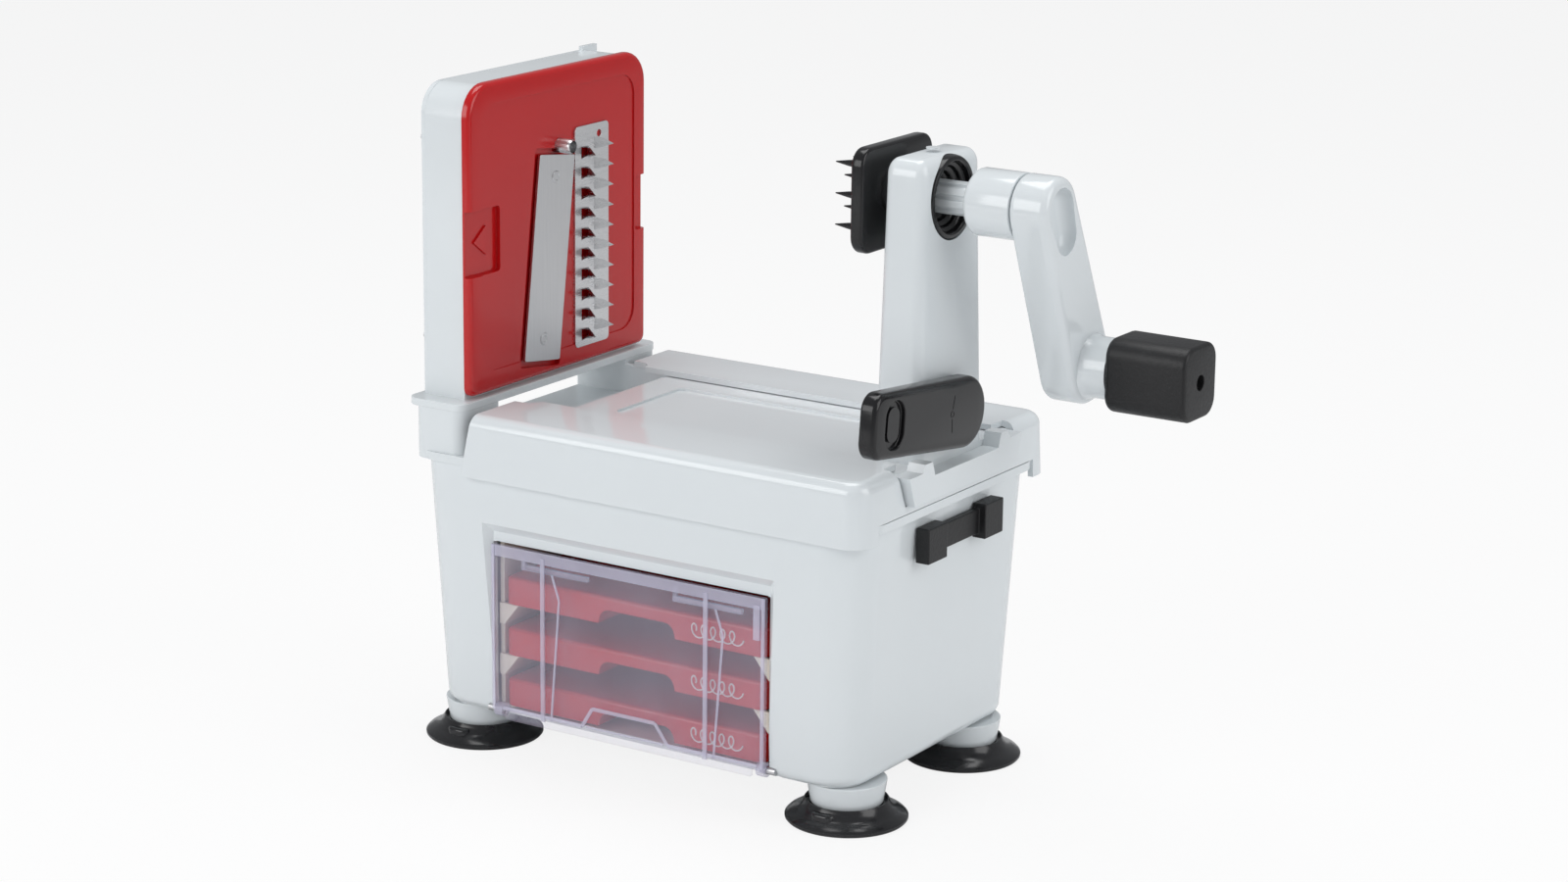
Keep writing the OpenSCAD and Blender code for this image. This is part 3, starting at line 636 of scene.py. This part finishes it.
def cassette_mesh(name):
    plate = standing_box(face_x - plate_t, face_x, low.y, high.y, low.z, high.z, 13 * MM, 8)
    for point in plate.verts:
        if point.co.z < cas_mid:
            for corner in (low.y, high.y):
                if abs(point.co.y - corner) < 13.1 * MM:
                    point.co.y = corner + (point.co.y - corner) * 0.3
            point.co.z = low.z + (point.co.z - low.z) * 0.3
    plate.normal_update()
    rim = [e for e in plate.edges if all(abs(v.co.x - face_x) < 1e-6 for v in e.verts)
           and any(abs(f.normal.x) < 0.5 for f in e.link_faces)]
    bmesh.ops.bevel(plate, geom=rim, offset=2.2 * MM, offset_type="OFFSET", segments=5, profile=0.5,
                    affect="EDGES", material=-1)
    piece = put(name, plate)
    body = standing_box(low.x, face_x - plate_t + 0.5 * MM, low.y + 3.4 * MM, high.y - 3.4 * MM, low.z + 3.4 * MM,
                        high.z - 3.4 * MM, 10 * MM, 6)
    carve(piece, body, operation="UNION")
    cuts = [standing_box(low.x - 0.01, face_x - plate_t, low.y + 5.4 * MM, high.y - 5.4 * MM, low.z + 5.4 * MM,
                         high.z - 5.4 * MM, 8 * MM, 6)]
    cuts.append(standing_box(face_x - 0.6 * MM, face_x + 0.01, low.y + 8.5 * MM, high.y - 8.5 * MM, low.z + 8.5 * MM,
                             high.z - 8.5 * MM, 9 * MM, 8))
    # finger pockets, left and right
    cuts.append(standing_box(face_x - 2.6 * MM, face_x + 0.01, low.y - 0.01, low.y + 20.5 * MM, cas_mid - 14 * MM,
                             cas_mid + 12.5 * MM, 1.6 * MM, 3))
    cuts.append(standing_box(face_x - 2.6 * MM, face_x + 0.01, high.y - 8 * MM, high.y + 0.01, cas_mid - 13 * MM,
                             cas_mid + 10 * MM, 1.6 * MM, 3))
    # seat of the straight blade, with the food's slot beside it, and the comb's window
    cuts.append(tilted(standing_box(face_x - 2.3 * MM, face_x + 0.01, blade_mid.y - 14.2 * MM, blade_mid.y + 12.4 * MM,
                                    blade_mid.z - 44.5 * MM, blade_mid.z + 44.5 * MM, 1 * MM, 2)))
    cuts.append(tilted(standing_box(low.x, face_x + 0.01, blade_mid.y + 8.6 * MM, blade_mid.y + 12.4 * MM,
                                    blade_mid.z - 39 * MM, blade_mid.z + 38 * MM, 0.5 * MM, 2)))
    cuts.append(standing_box(face_x - 3 * MM, face_x + 0.01, comb_low.y + 4 * MM, comb_high.y - 4 * MM, comb_low.z + 3 * MM,
                             comb_high.z - 8 * MM, 1 * MM, 2))
    cuts.append(lathe([(0, -0.02), (3.05 * MM, -0.02), (3.05 * MM, 0.02), (0, 0.02)],
                      (face_x, 0, (cutter_low.z + cutter_high.z) / 2), "X", 32))
    carve(piece, *cuts)
    return piece


cassette = cassette_mesh("red_cassette")
dress(cassette, red, "cassette", "red_plastic", "cassette", edge=0.4 * MM)


def solid_prism(points, x0, x1):
    """An outline in the YZ plane carried from x0 to x1."""
    made = bmesh.new()
    face = made.faces.new([made.verts.new((x0, y, z)) for y, z in points])
    swept = bmesh.ops.extrude_face_region(made, geom=[face])
    bmesh.ops.translate(made, verts=[v for v in swept["geom"] if isinstance(v, bmesh.types.BMVert)], vec=(x1 - x0, 0, 0))
    return made


mark_y, mark_z = low.y + 8 * MM, cas_mid - 0.5 * MM
arrow = solid_prism([(mark_y - 3 * MM, mark_z), (mark_y + 5 * MM, mark_z + 6 * MM), (mark_y + 5 * MM, mark_z - 6 * MM)],
                    face_x - 2.9 * MM, face_x - 1.7 * MM)
dress(gather("pocket_mark", [arrow]), red, "cassette", "red_plastic", edge=0.3 * MM)

# The spare cassettes lie on their shelves, long side across the doorway, with a curl sign each.
spares = []
for shelf in range(3):
    body = box_mesh((spare_low.x, spare_low.y, spare_low.z + shelf * pitch),
                    (spare_high.x, spare_high.y, spare_low.z + shelf * pitch + 11.4 * MM), upright=4 * MM, steps=4)
    top_edges = [e for e in body.edges if all(v.co.z > spare_low.z + shelf * pitch + 11 * MM for v in e.verts)
                 and any(abs(f.normal.z) < 0.5 for f in e.link_faces)]
    bmesh.ops.bevel(body, geom=top_edges, offset=1.6 * MM, offset_type="OFFSET", segments=4, profile=0.5,
                    affect="EDGES", material=-1)
    spare = put("spare_%d" % shelf, body)
    z = spare_low.z + shelf * pitch
    scoop = bmesh.new()
    bmesh.ops.create_cube(scoop, size=1)
    for point in scoop.verts:
        wide = 17 * MM if point.co.z > 0 else 20 * MM
        point.co = Vector(((spare_low.x + spare_high.x) / 2 + 2 * MM + (wide if point.co.x > 0 else -wide),
                           spare_low.y + (15 * MM if point.co.y > 0 else -0.01), z + (6 * MM if point.co.z > 0 else -0.01)))
    bmesh.ops.bevel(scoop, geom=[e for e in scoop.edges if all(v.co.z > z for v in e.verts)
                                 and abs(e.verts[0].co.x - e.verts[1].co.x) < 1e-6], offset=4 * MM,
                    offset_type="OFFSET", segments=5, profile=0.5, affect="EDGES", material=-1)
    hollow = box_mesh((spare_low.x + 4 * MM, spare_low.y + 17 * MM, z - 0.01), (spare_high.x - 4 * MM, spare_high.y - 5 * MM,
                                                                             z + 8 * MM))
    dish = box_mesh((spare_low.x + 9 * MM, spare_low.y + 9 * MM, z + 10.6 * MM),
                    (spare_high.x - 9 * MM, spare_high.y - 9 * MM, z + 0.02), upright=6 * MM, steps=4)
    carve(spare, scoop, hollow, dish)
    spares.append(spare)
whole = spares[0]
carve(whole, *spares[1:], operation="UNION")
whole.name = "red_spare_cassettes"
dress(whole, red, "base", "red_plastic", "spare_cassettes", edge=0.4 * MM)


def sign_paint():
    made = Finish("white_sign_ink", Roughness=0.5)
    wear = made.noise(900.0)
    made.drive("Base_Color", made.blend(wear, (0.66, 0.6, 0.62, 1), (0.85, 0.8, 0.82, 1)))
    made.drive("Roughness", wear * 0.2 + 0.4)
    return made.material


ink = sign_paint()
curls = bpy.data.curves.new("curl_signs", "CURVE")
curls.dimensions = "3D"
curls.bevel_resolution = 2
for shelf in range(3):
    curls.bevel_depth = 0.32 * MM
    line = curls.splines.new("POLY")
    count = 150
    line.points.add(count - 1)
    for k in range(count):
        t = k / (count - 1)
        angle = t * 5 * math.tau
        x = spare_high.x - 34 * MM + t * 22 * MM + 2.1 * MM * math.cos(angle)
        z = spare_low.z + shelf * pitch + 5.6 * MM + 2.7 * MM * math.sin(angle)
        line.points[k].co = (x, spare_low.y - 0.05 * MM, z, 1)
curl_object = bpy.data.objects.new("curl_source", curls)
bpy.context.scene.collection.objects.link(curl_object)
bpy.context.view_layer.update()
curl_data = bpy.data.meshes.new_from_object(curl_object.evaluated_get(bpy.context.evaluated_depsgraph_get()))
bpy.data.objects.remove(curl_object)
curl_piece = bpy.data.objects.new("curl_marks", curl_data)
bpy.context.scene.collection.objects.link(curl_piece)
dress(curl_piece, ink, "base", "red_plastic", edge=0)


# ---- Blade frame ----
# The white casing that holds the cassette: a thin walled upright frame with rounded top corners
# on a flange, with two hollow tongues that plug into the towers of the bed.

low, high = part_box("blade_frame")
flange_low = low.z + 12 * MM
flange_high = flange_low + 3 * MM
case_left, case_right = low.x + 4.4 * MM, low.x + 22.8 * MM
case_half = 59.5 * MM
case = put("frame_casing", standing_box(case_left, case_right, -case_half, case_half, flange_low + 1 * MM, high.z, 13 * MM, 8))
foot = box_mesh((case_left, -case_half, flange_low + 1 * MM), (case_right, case_half, flange_low + 30 * MM))
flange = box_mesh((low.x, low.y, flange_low), (high.x, high.y, flange_high), upright=5 * MM, steps=5)
tongues = [box_mesh((case_left + 3 * MM, y - 8 * MM, low.z), (case_right - 2 * MM, y + 8 * MM, flange_low + 1 * MM))
           for y in (-56 * MM, 56 * MM)]
carve(case, foot, flange, *tongues, operation="UNION")
window = standing_box(case_left - 0.01, case_right + 0.01, -57.2 * MM, 57.2 * MM, cas_mid - 59.2 * MM, cas_mid + 59.2 * MM,
                      10 * MM, 6)
sockets = [box_mesh((case_left + 5 * MM, y - 6 * MM, low.z - 0.01), (case_right - 4 * MM, y + 6 * MM, flange_low - 2 * MM))
           for y in (-56 * MM, 56 * MM)]
carve(case, window, *sockets)
dress(case, white, "frame", "white_plastic", "blade_frame", edge=0.6 * MM)


# ---- Blades ----
# Stainless steel: a straight blade held by two rivets, a comb plate whose teeth are punched and
# bent out in two rows, and a tube that cuts the food's core.

def steel(name, grain, tone=(0.68, 0.68, 0.69, 1), rough=0.26):
    made = Finish(name, Metallic=1.0)
    lines = made.noise(160.0, 4.0, 0.6, grain)
    made.drive("Base_Color", made.blend(lines, tuple(c * 0.86 for c in tone[:3]) + (1,), tone))
    made.drive("Roughness", lines * 0.16 + rough)
    made.bump(lines, 0.00003, 0.6)
    return made.material


blade_steel = steel("brushed_blade_steel", (1, 6, 0.25))
comb_steel = steel("comb_plate_steel", (1, 0.3, 5), (0.74, 0.74, 0.75, 1), 0.2)
pin_steel = steel("turned_pin_steel", (3, 1, 1))
blade = standing_box(face_x - 1.3 * MM, face_x - 0.1 * MM, blade_mid.y - 11.3 * MM, blade_mid.y + 11.3 * MM,
                     blade_mid.z - 42 * MM, blade_mid.z + 42 * MM, 0.8 * MM, 2)
for point in blade.verts:
    if point.co.y > blade_mid.y + 9 * MM:
        point.co.x += 0.9 * MM if point.co.x > face_x - 0.7 * MM else 1.6 * MM
dress(put("steel_blade", tilted(blade)), blade_steel, "cassette", "steel", "straight_blade", edge=0.15 * MM)
rivets = []
for way in (-1, 1):
    centre = Vector((face_x, blade_mid.y, blade_mid.z + way * 33 * MM))
    head = lathe([(0, -1 * MM), (2.6 * MM, -1 * MM), (2.6 * MM, 0.4 * MM), (2.2 * MM, 0.8 * MM), (1.5 * MM, 0.8 * MM), (1.1 * MM, 0.4 * MM), (0, 0.4 * MM)],
                 centre, "X", 32)
    rivets.append(tilted(head))
dress(gather("blade_rivet_heads", rivets), pin_steel, "cassette", "steel", "blade_rivets", edge=0)

comb_x = face_x - 0.2 * MM
comb = put("steel_comb", standing_box(comb_x - 0.5 * MM, comb_x + 0.5 * MM, comb_low.y, comb_high.y, comb_low.z,
                                      comb_high.z, 2 * MM, 3))
rows = 10
comb_mid = (comb_low.y + comb_high.y) / 2
row_step = (comb_high.z - comb_low.z) / (rows + 0.9)
holes, teeth = [], []
for row in range(rows):
    for way in (-1, 1):
        z = comb_low.z + (row + 0.75 + 0.18 * way) * row_step
        y = comb_mid + way * 4.4 * MM
        holes.append(solid_prism([(y - 2.9 * MM, z - 2.2 * MM), (y + 2.9 * MM, z - 1.2 * MM), (y + 2.9 * MM, z + 1.2 * MM),
                                  (y - 2.9 * MM, z + 2.6 * MM)], comb_x - 0.01, comb_x + 0.01))
        tooth = bmesh.new()
        foot = [tooth.verts.new((comb_x, y - way * 2.6 * MM, z - 2.4 * MM)), tooth.verts.new((comb_x, y - way * 2.2 * MM, z + 2.6 * MM)),
                tooth.verts.new((comb_x + 3.2 * MM, y + way * 0.2 * MM, z + 1.9 * MM)),
                tooth.verts.new((comb_x + 7.0 * MM, y + way * 1.9 * MM, z - 0.2 * MM)),
                tooth.verts.new((comb_x + 2.6 * MM, y - way * 0.4 * MM, z - 1.9 * MM))]
        tooth.faces.new(foot)
        sheet_face = tooth.faces[:]
        bmesh.ops.solidify(tooth, geom=sheet_face, thickness=0.55 * MM)
        teeth.append(tooth)
holes.append(lathe([(0, -0.01), (1.5 * MM, -0.01), (1.5 * MM, 0.01), (0, 0.01)],
                   (comb_x, comb_mid + 5 * MM, comb_high.z - 4.5 * MM), "X", 24))
carve(comb, *holes)
dress(comb, comb_steel, "cassette", "steel", "comb_plate", edge=0.1 * MM)
dress(gather("comb_teeth", teeth), comb_steel, "cassette", "steel", edge=0.08 * MM, segments=2)
tube_z = (cutter_low.z + cutter_high.z) / 2
tube = lathe([(2.45 * MM, -6 * MM), (3 * MM, -6 * MM), (3 * MM, 5.4 * MM), (2.5 * MM, 6.4 * MM), (2.45 * MM, 5.4 * MM),
              (2.45 * MM, -6 * MM)], (face_x, 0, tube_z), "X", 40)
dress(put("core_tube", tube), comb_steel, "cassette", "steel", "core_cutter", edge=0)


# ---- Sliding board and post ----
# The board runs in the hood's channel. Its post is a hollow white moulding with a crowned top,
# screwed to the board from below.

low, high = board_low, board_high
board = softened("sliding_board", white, "white_plastic", 0.5 * MM)
low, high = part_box("post")
post_low, post_high = low, high
shaft_z = 238.4 * MM
mid = Vector(((low.x + high.x) / 2, 0, 0))
column = box_mesh(low, high, upright=5.5 * MM, top=6.5 * MM, steps=8)
for point in column.verts:
    t = (point.co.z - low.z) / (high.z - low.z)
    point.co.y *= 1 - 0.135 * t
    point.co.x = low.x + (point.co.x - low.x) * (1 - 0.2 * t) + 1.6 * MM * t
    if point.co.z > high.z - 7 * MM:
        point.co.z -= 2.5 * MM * (point.co.y / (21 * MM)) ** 2
post = put("post_column", column)
bores = []
for radius, depth in ((16.3 * MM, 12 * MM), (10.2 * MM, 20 * MM), (7.4 * MM, 40 * MM)):
    bores.append(lathe([(0, -depth), (radius, -depth), (radius, 8 * MM), (0, 8 * MM)], (high.x, 0, shaft_z), "X", 64))
carve(post, *bores)
dress(post, white, "carriage", "white_plastic", "post", edge=0.6 * MM)
plug = lathe([(0, -0.3 * MM), (2.9 * MM, -0.3 * MM), (2.9 * MM, 0.1 * MM), (0, 0.15 * MM)], (mid.x - 0.5 * MM, 0, high.z - 0.05 * MM), "Z", 32)
dress(put("post_mark", plug), white, "carriage", "white_plastic", edge=0)


# ---- Black mouldings ----
# Polished black: bearing ring, clamp lever and food holder. Satin black: grip and lock slider.

def black_plastic(name, rough, shine, grain):
    made = Finish(name, IOR=1.42)
    cloud = made.noise(24.0, 3.0)
    speck = made.noise(700.0, 2.0)
    made.drive("Base_Color", made.blend(cloud, (0.007, 0.007, 0.008, 1), (0.016, 0.016, 0.017, 1)))
    made.drive("Roughness", cloud * 0.08 + speck * 0.1 + rough)
    made.shader.inputs["Coat Weight"].default_value = shine
    made.bump(speck * grain + cloud * 0.3, 0.00012)
    return made.material


polished = black_plastic("black_polished_plastic", 0.07, 0.0, 0.1)
satin = black_plastic("black_satin_plastic", 0.36, 0.0, 0.8)
ring_x = post_high.x - 0.8 * MM
ring_steps = [(16.1, -11.9), (16.1, -2.6), (15.6, -1.7), (14.2, -1.5), (13.6, -2.2), (13.4, -4.4), (12.6, -5), (11.9, -5.1), (11.6, -6.8),
              (10.6, -7.4), (9.7, -7.5), (9.4, -9.4), (7.6, -10), (6.8, -10), (6.8, -19.8), (9.9, -19.8), (9.9, -11.9), (16.1, -11.9)]
ring = lathe([(r * MM, (d + 0.6) * MM) for r, d in ring_steps], (ring_x, 0, shaft_z), "X", 96)
dress(put("stepped_ring", ring), polished, "carriage", "black_gloss", "bearing_ring", edge=0.25 * MM)

low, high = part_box("clamp_lever")
lever_in, lever_out = low.x, high.x
pivot = Vector((0, -3 * MM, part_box("lever_pin")[0].z + 2.95 * MM))


def arc(y, z, r, start, end, count=10):
    return [(y + r * math.cos(math.radians(start + (end - start) * k / count)),
             z + r * math.sin(math.radians(start + (end - start) * k / count))) for k in range(count + 1)]


outline = (arc(0, 0, 14 * MM, -88, 88, 18) + arc(-62 * MM, 6.4 * MM, 7 * MM, 92, 176) + arc(-62 * MM, -5 * MM, 7 * MM, 184, 266))
bar = solid_prism(outline, lever_in, lever_out)
for level, radius in ((lever_out, 2.2 * MM), (lever_in, 1 * MM)):
    rim = [e for e in bar.edges if all(abs(v.co.x - level) < 1e-6 for v in e.verts)]
    bmesh.ops.bevel(bar, geom=rim, offset=radius, offset_type="OFFSET", segments=5, profile=0.5, affect="EDGES", material=-1)
bmesh.ops.rotate(bar, verts=bar.verts, cent=(0, 0, 0), matrix=Matrix.Rotation(math.radians(-6), 3, "X"))
bmesh.ops.translate(bar, verts=bar.verts, vec=pivot)
lever = put("lever_bar", bar)


def on_lever(made):
    bmesh.ops.rotate(made, verts=made.verts, cent=(0, 0, 0), matrix=Matrix.Rotation(math.radians(-6), 3, "X"))
    bmesh.ops.translate(made, verts=made.verts, vec=pivot)
    return made


dish = standing_box(lever_out - 1.8 * MM, lever_out + 0.01, -61 * MM, -47.5 * MM, -8.6 * MM, 10 * MM, 6.4 * MM, 10)
carve(lever, on_lever(dish))
dress(lever, polished, "lever", "black_gloss", "clamp_lever", edge=0.5 * MM)
signs = [lathe([(0.95 * MM, 0), (1.35 * MM, 0), (1.35 * MM, 0.14 * MM), (0.95 * MM, 0.14 * MM), (0.95 * MM, 0)], (lever_out, -12 * MM, 0.5 * MM), "X", 24)]
for z0, z1 in ((2.4, 7.6), (-6.6, -1.4)):
    signs.append(solid_prism([(-12.2 * MM + 0.018 * z0 * z0 * MM, z0 * MM), (-11.8 * MM + 0.018 * z0 * z0 * MM, z0 * MM),
                              (-11.8 * MM + 0.018 * z1 * z1 * MM, z1 * MM), (-12.2 * MM + 0.018 * z1 * z1 * MM, z1 * MM)],
                             lever_out - 0.1 * MM, lever_out + 0.14 * MM))
pad = standing_box(lever_out - 1.9 * MM, lever_out - 0.8 * MM, -58.4 * MM, -50.1 * MM, -6 * MM, 7.4 * MM, 3.9 * MM, 8)
dress(gather("lever_marks", [on_lever(m) for m in signs + [pad]]), polished, "lever", "black_gloss", edge=0.1 * MM)

low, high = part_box("food_holder")
plate_x = high.x - 5.6 * MM
plate = standing_box(plate_x, high.x, low.y, high.y, low.z, high.z, 7 * MM, 8)
for level, radius in ((plate_x, 1.6 * MM), (high.x, 1.2 * MM)):
    rim = [e for e in plate.edges if all(abs(v.co.x - level) < 1e-6 for v in e.verts)]
    bmesh.ops.bevel(plate, geom=rim, offset=radius, offset_type="OFFSET", segments=4, profile=0.5, affect="EDGES", material=-1)
holder_parts = [plate]
spots = [(col * 12.4, row * 12.1) for row in (-1, 0, 1) for col in (-1.5, -0.5, 0.5, 1.5)]
spots += [(col * 12.4, row * 12.1) for row in (-0.5, 0.5) for col in (-1, 0, 1)]
for y, z in spots:
    holder_parts.append(lathe([(0, 1.5 * MM), (2.1 * MM, 1.5 * MM), (1.7 * MM, -1 * MM), (1.2 * MM, -5 * MM), (0.25 * MM, -10.6 * MM), (0, -11 * MM)],
                              (plate_x, y * MM, shaft_z + z * MM), "X", 20))
dress(gather("spiked_holder", holder_parts), polished, "crank", "black_plastic", "food_holder", edge=0)


# ---- Crank ----
# A splined white shaft, a hub that clips over it, and an arm with a thumb dish and a boss for
# the grip's axle. Hub and arm meet at a visible seam.

low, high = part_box("drive_shaft")
hub_low, hub_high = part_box("crank_hub")
spline = bmesh.new()
circle = []
flutes = 8
for k in range(flutes):
    for share, radius in ((0.0, 6.7), (0.55, 6.7), (0.62, 5.6), (0.93, 5.6)):
        angle = math.tau * (k + share) / flutes
        circle.append((radius * MM * math.cos(angle), shaft_z + radius * MM * math.sin(angle)))
spline = solid_prism(circle, post_high.x - 11 * MM, high.x)
rod_back = lathe([(0, 0), (6.7 * MM, 0), (6.7 * MM, post_high.x - 10 * MM - low.x), (0, post_high.x - 10 * MM - low.x)],
                 (low.x, 0, shaft_z), "X", 48)
dress(gather("splined_shaft", [spline, rod_back]), white, "crank", "white_plastic", "drive_shaft", edge=0.3 * MM)

hub = lathe([(0, 0), (11.4 * MM, 0), (12.6 * MM, 1.2 * MM), (13 * MM, 2.4 * MM), (13 * MM, hub_high.x - hub_low.x), (0, hub_high.x - hub_low.x)],
            (hub_low.x, 0, shaft_z), "X", 72)
dress(put("hub_shell", hub), white, "crank", "white_plastic", "crank_hub", edge=0.3 * MM)

low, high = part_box("crank_arm")
grip_low, grip_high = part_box("grip")
grip_mid = (grip_low + grip_high) / 2
rise = math.degrees(math.atan2(grip_mid.z - shaft_z, grip_mid.y))
arm_x0, arm_x1 = hub_high.x, hub_high.x + 16 * MM
arm_outline = arc(0, shaft_z, 13 * MM, rise + 90, rise + 270, 24) + arc(grip_mid.y, grip_mid.z, 15 * MM, rise - 86, rise + 86, 24)
bar = solid_prism(arm_outline, arm_x0, arm_x1)
for level, radius in ((arm_x1, 3.2 * MM), (arm_x0, 2.4 * MM)):
    rim = [e for e in bar.edges if all(abs(v.co.x - level) < 1e-6 for v in e.verts)]
    bmesh.ops.bevel(bar, geom=rim, offset=radius, offset_type="OFFSET", segments=6, profile=0.5, affect="EDGES", material=-1)
arm = put("arm_bar", bar)
boss = lathe([(0, -2 * MM), (13.4 * MM, -2 * MM), (12.4 * MM, 1.5 * MM), (12 * MM, 3 * MM), (12 * MM, 11 * MM), (0, 11 * MM)],
             (arm_x1, grip_mid.y, grip_mid.z), "X", 64)
carve(arm, boss, operation="UNION")
along = Vector((0, grip_mid.y, grip_mid.z - shaft_z)).normalized()
oval = (arc(0, 0, 9 * MM, rise + 90, rise + 270, 16)
        + arc(along.y * 11 * MM, along.z * 11 * MM, 7.4 * MM, rise - 88, rise + 88, 16))
scoop = solid_prism([(y, z + shaft_z) for y, z in oval], arm_x1 - 5.6 * MM, arm_x1 + 5 * MM)
floor_rim = [e for e in scoop.edges if all(v.co.x < arm_x1 - 5 * MM for v in e.verts)]
bmesh.ops.bevel(scoop, geom=floor_rim, offset=4.6 * MM, offset_type="OFFSET", segments=6, profile=0.5, affect="EDGES", material=-1)
bore = lathe([(0, 0), (3.05 * MM, 0), (3.05 * MM, 8 * MM), (0, 8 * MM)], (arm_x1 + 6 * MM, grip_mid.y, grip_mid.z), "X", 32)
carve(arm, scoop, bore)
dress(arm, white, "crank", "white_plastic", "crank_arm", edge=0.5 * MM)


# ---- Grip ----
# A satin black barrel of rounded square section that turns on a steel axle. Its end screw sits
# in a small round well.

low, high = grip_low, grip_high
barrel = standing_box(low.x, high.x, low.y, high.y, low.z, high.z, 7.5 * MM, 8)
for level, radius in ((low.x, 2.6 * MM), (high.x, 1.5 * MM)):
    rim = [e for e in barrel.edges if all(abs(v.co.x - level) < 1e-6 for v in e.verts)]
    bmesh.ops.bevel(barrel, geom=rim, offset=radius, offset_type="OFFSET", segments=5, profile=0.5, affect="EDGES", material=-1)
for point in barrel.verts:
    t = (point.co.x - low.x) / (high.x - low.x)
    swell = 1 - 0.05 * (2 * t - 1) ** 2
    point.co.y = grip_mid.y + (point.co.y - grip_mid.y) * swell
    point.co.z = grip_mid.z + (point.co.z - grip_mid.z) * swell
grip = put("grip_barrel", barrel)
well = lathe([(0, -5.8 * MM), (3 * MM, -5.8 * MM), (3 * MM, 2 * MM), (0, 2 * MM)], (high.x, grip_mid.y, grip_mid.z), "X", 32)
bore = lathe([(0, 0), (3.1 * MM, 0), (3.1 * MM, high.x - low.x - 7 * MM), (0, high.x - low.x - 7 * MM)],
             (low.x - 1 * MM, grip_mid.y, grip_mid.z), "X", 32)
carve(grip, well, bore)
dress(grip, satin, "grip", "black_plastic", "grip", edge=0.4 * MM)

softened("lock_slider", satin, "black_plastic", 0.5 * MM)


# ---- Turned pins and screws ----
# Small steel parts keep their construction shape and take the turned steel finish.

def wear(node, finish):
    piece = frame["nodes"][node]
    piece.data.materials.clear()
    piece.data.materials.append(finish)


for node in ("cup_screws", "door_pins", "post_screws", "lever_pin", "shaft_clip", "grip_axle", "cover_screws", "spare_blades"):
    wear(node, pin_steel)
wear("axle_screw", satin)
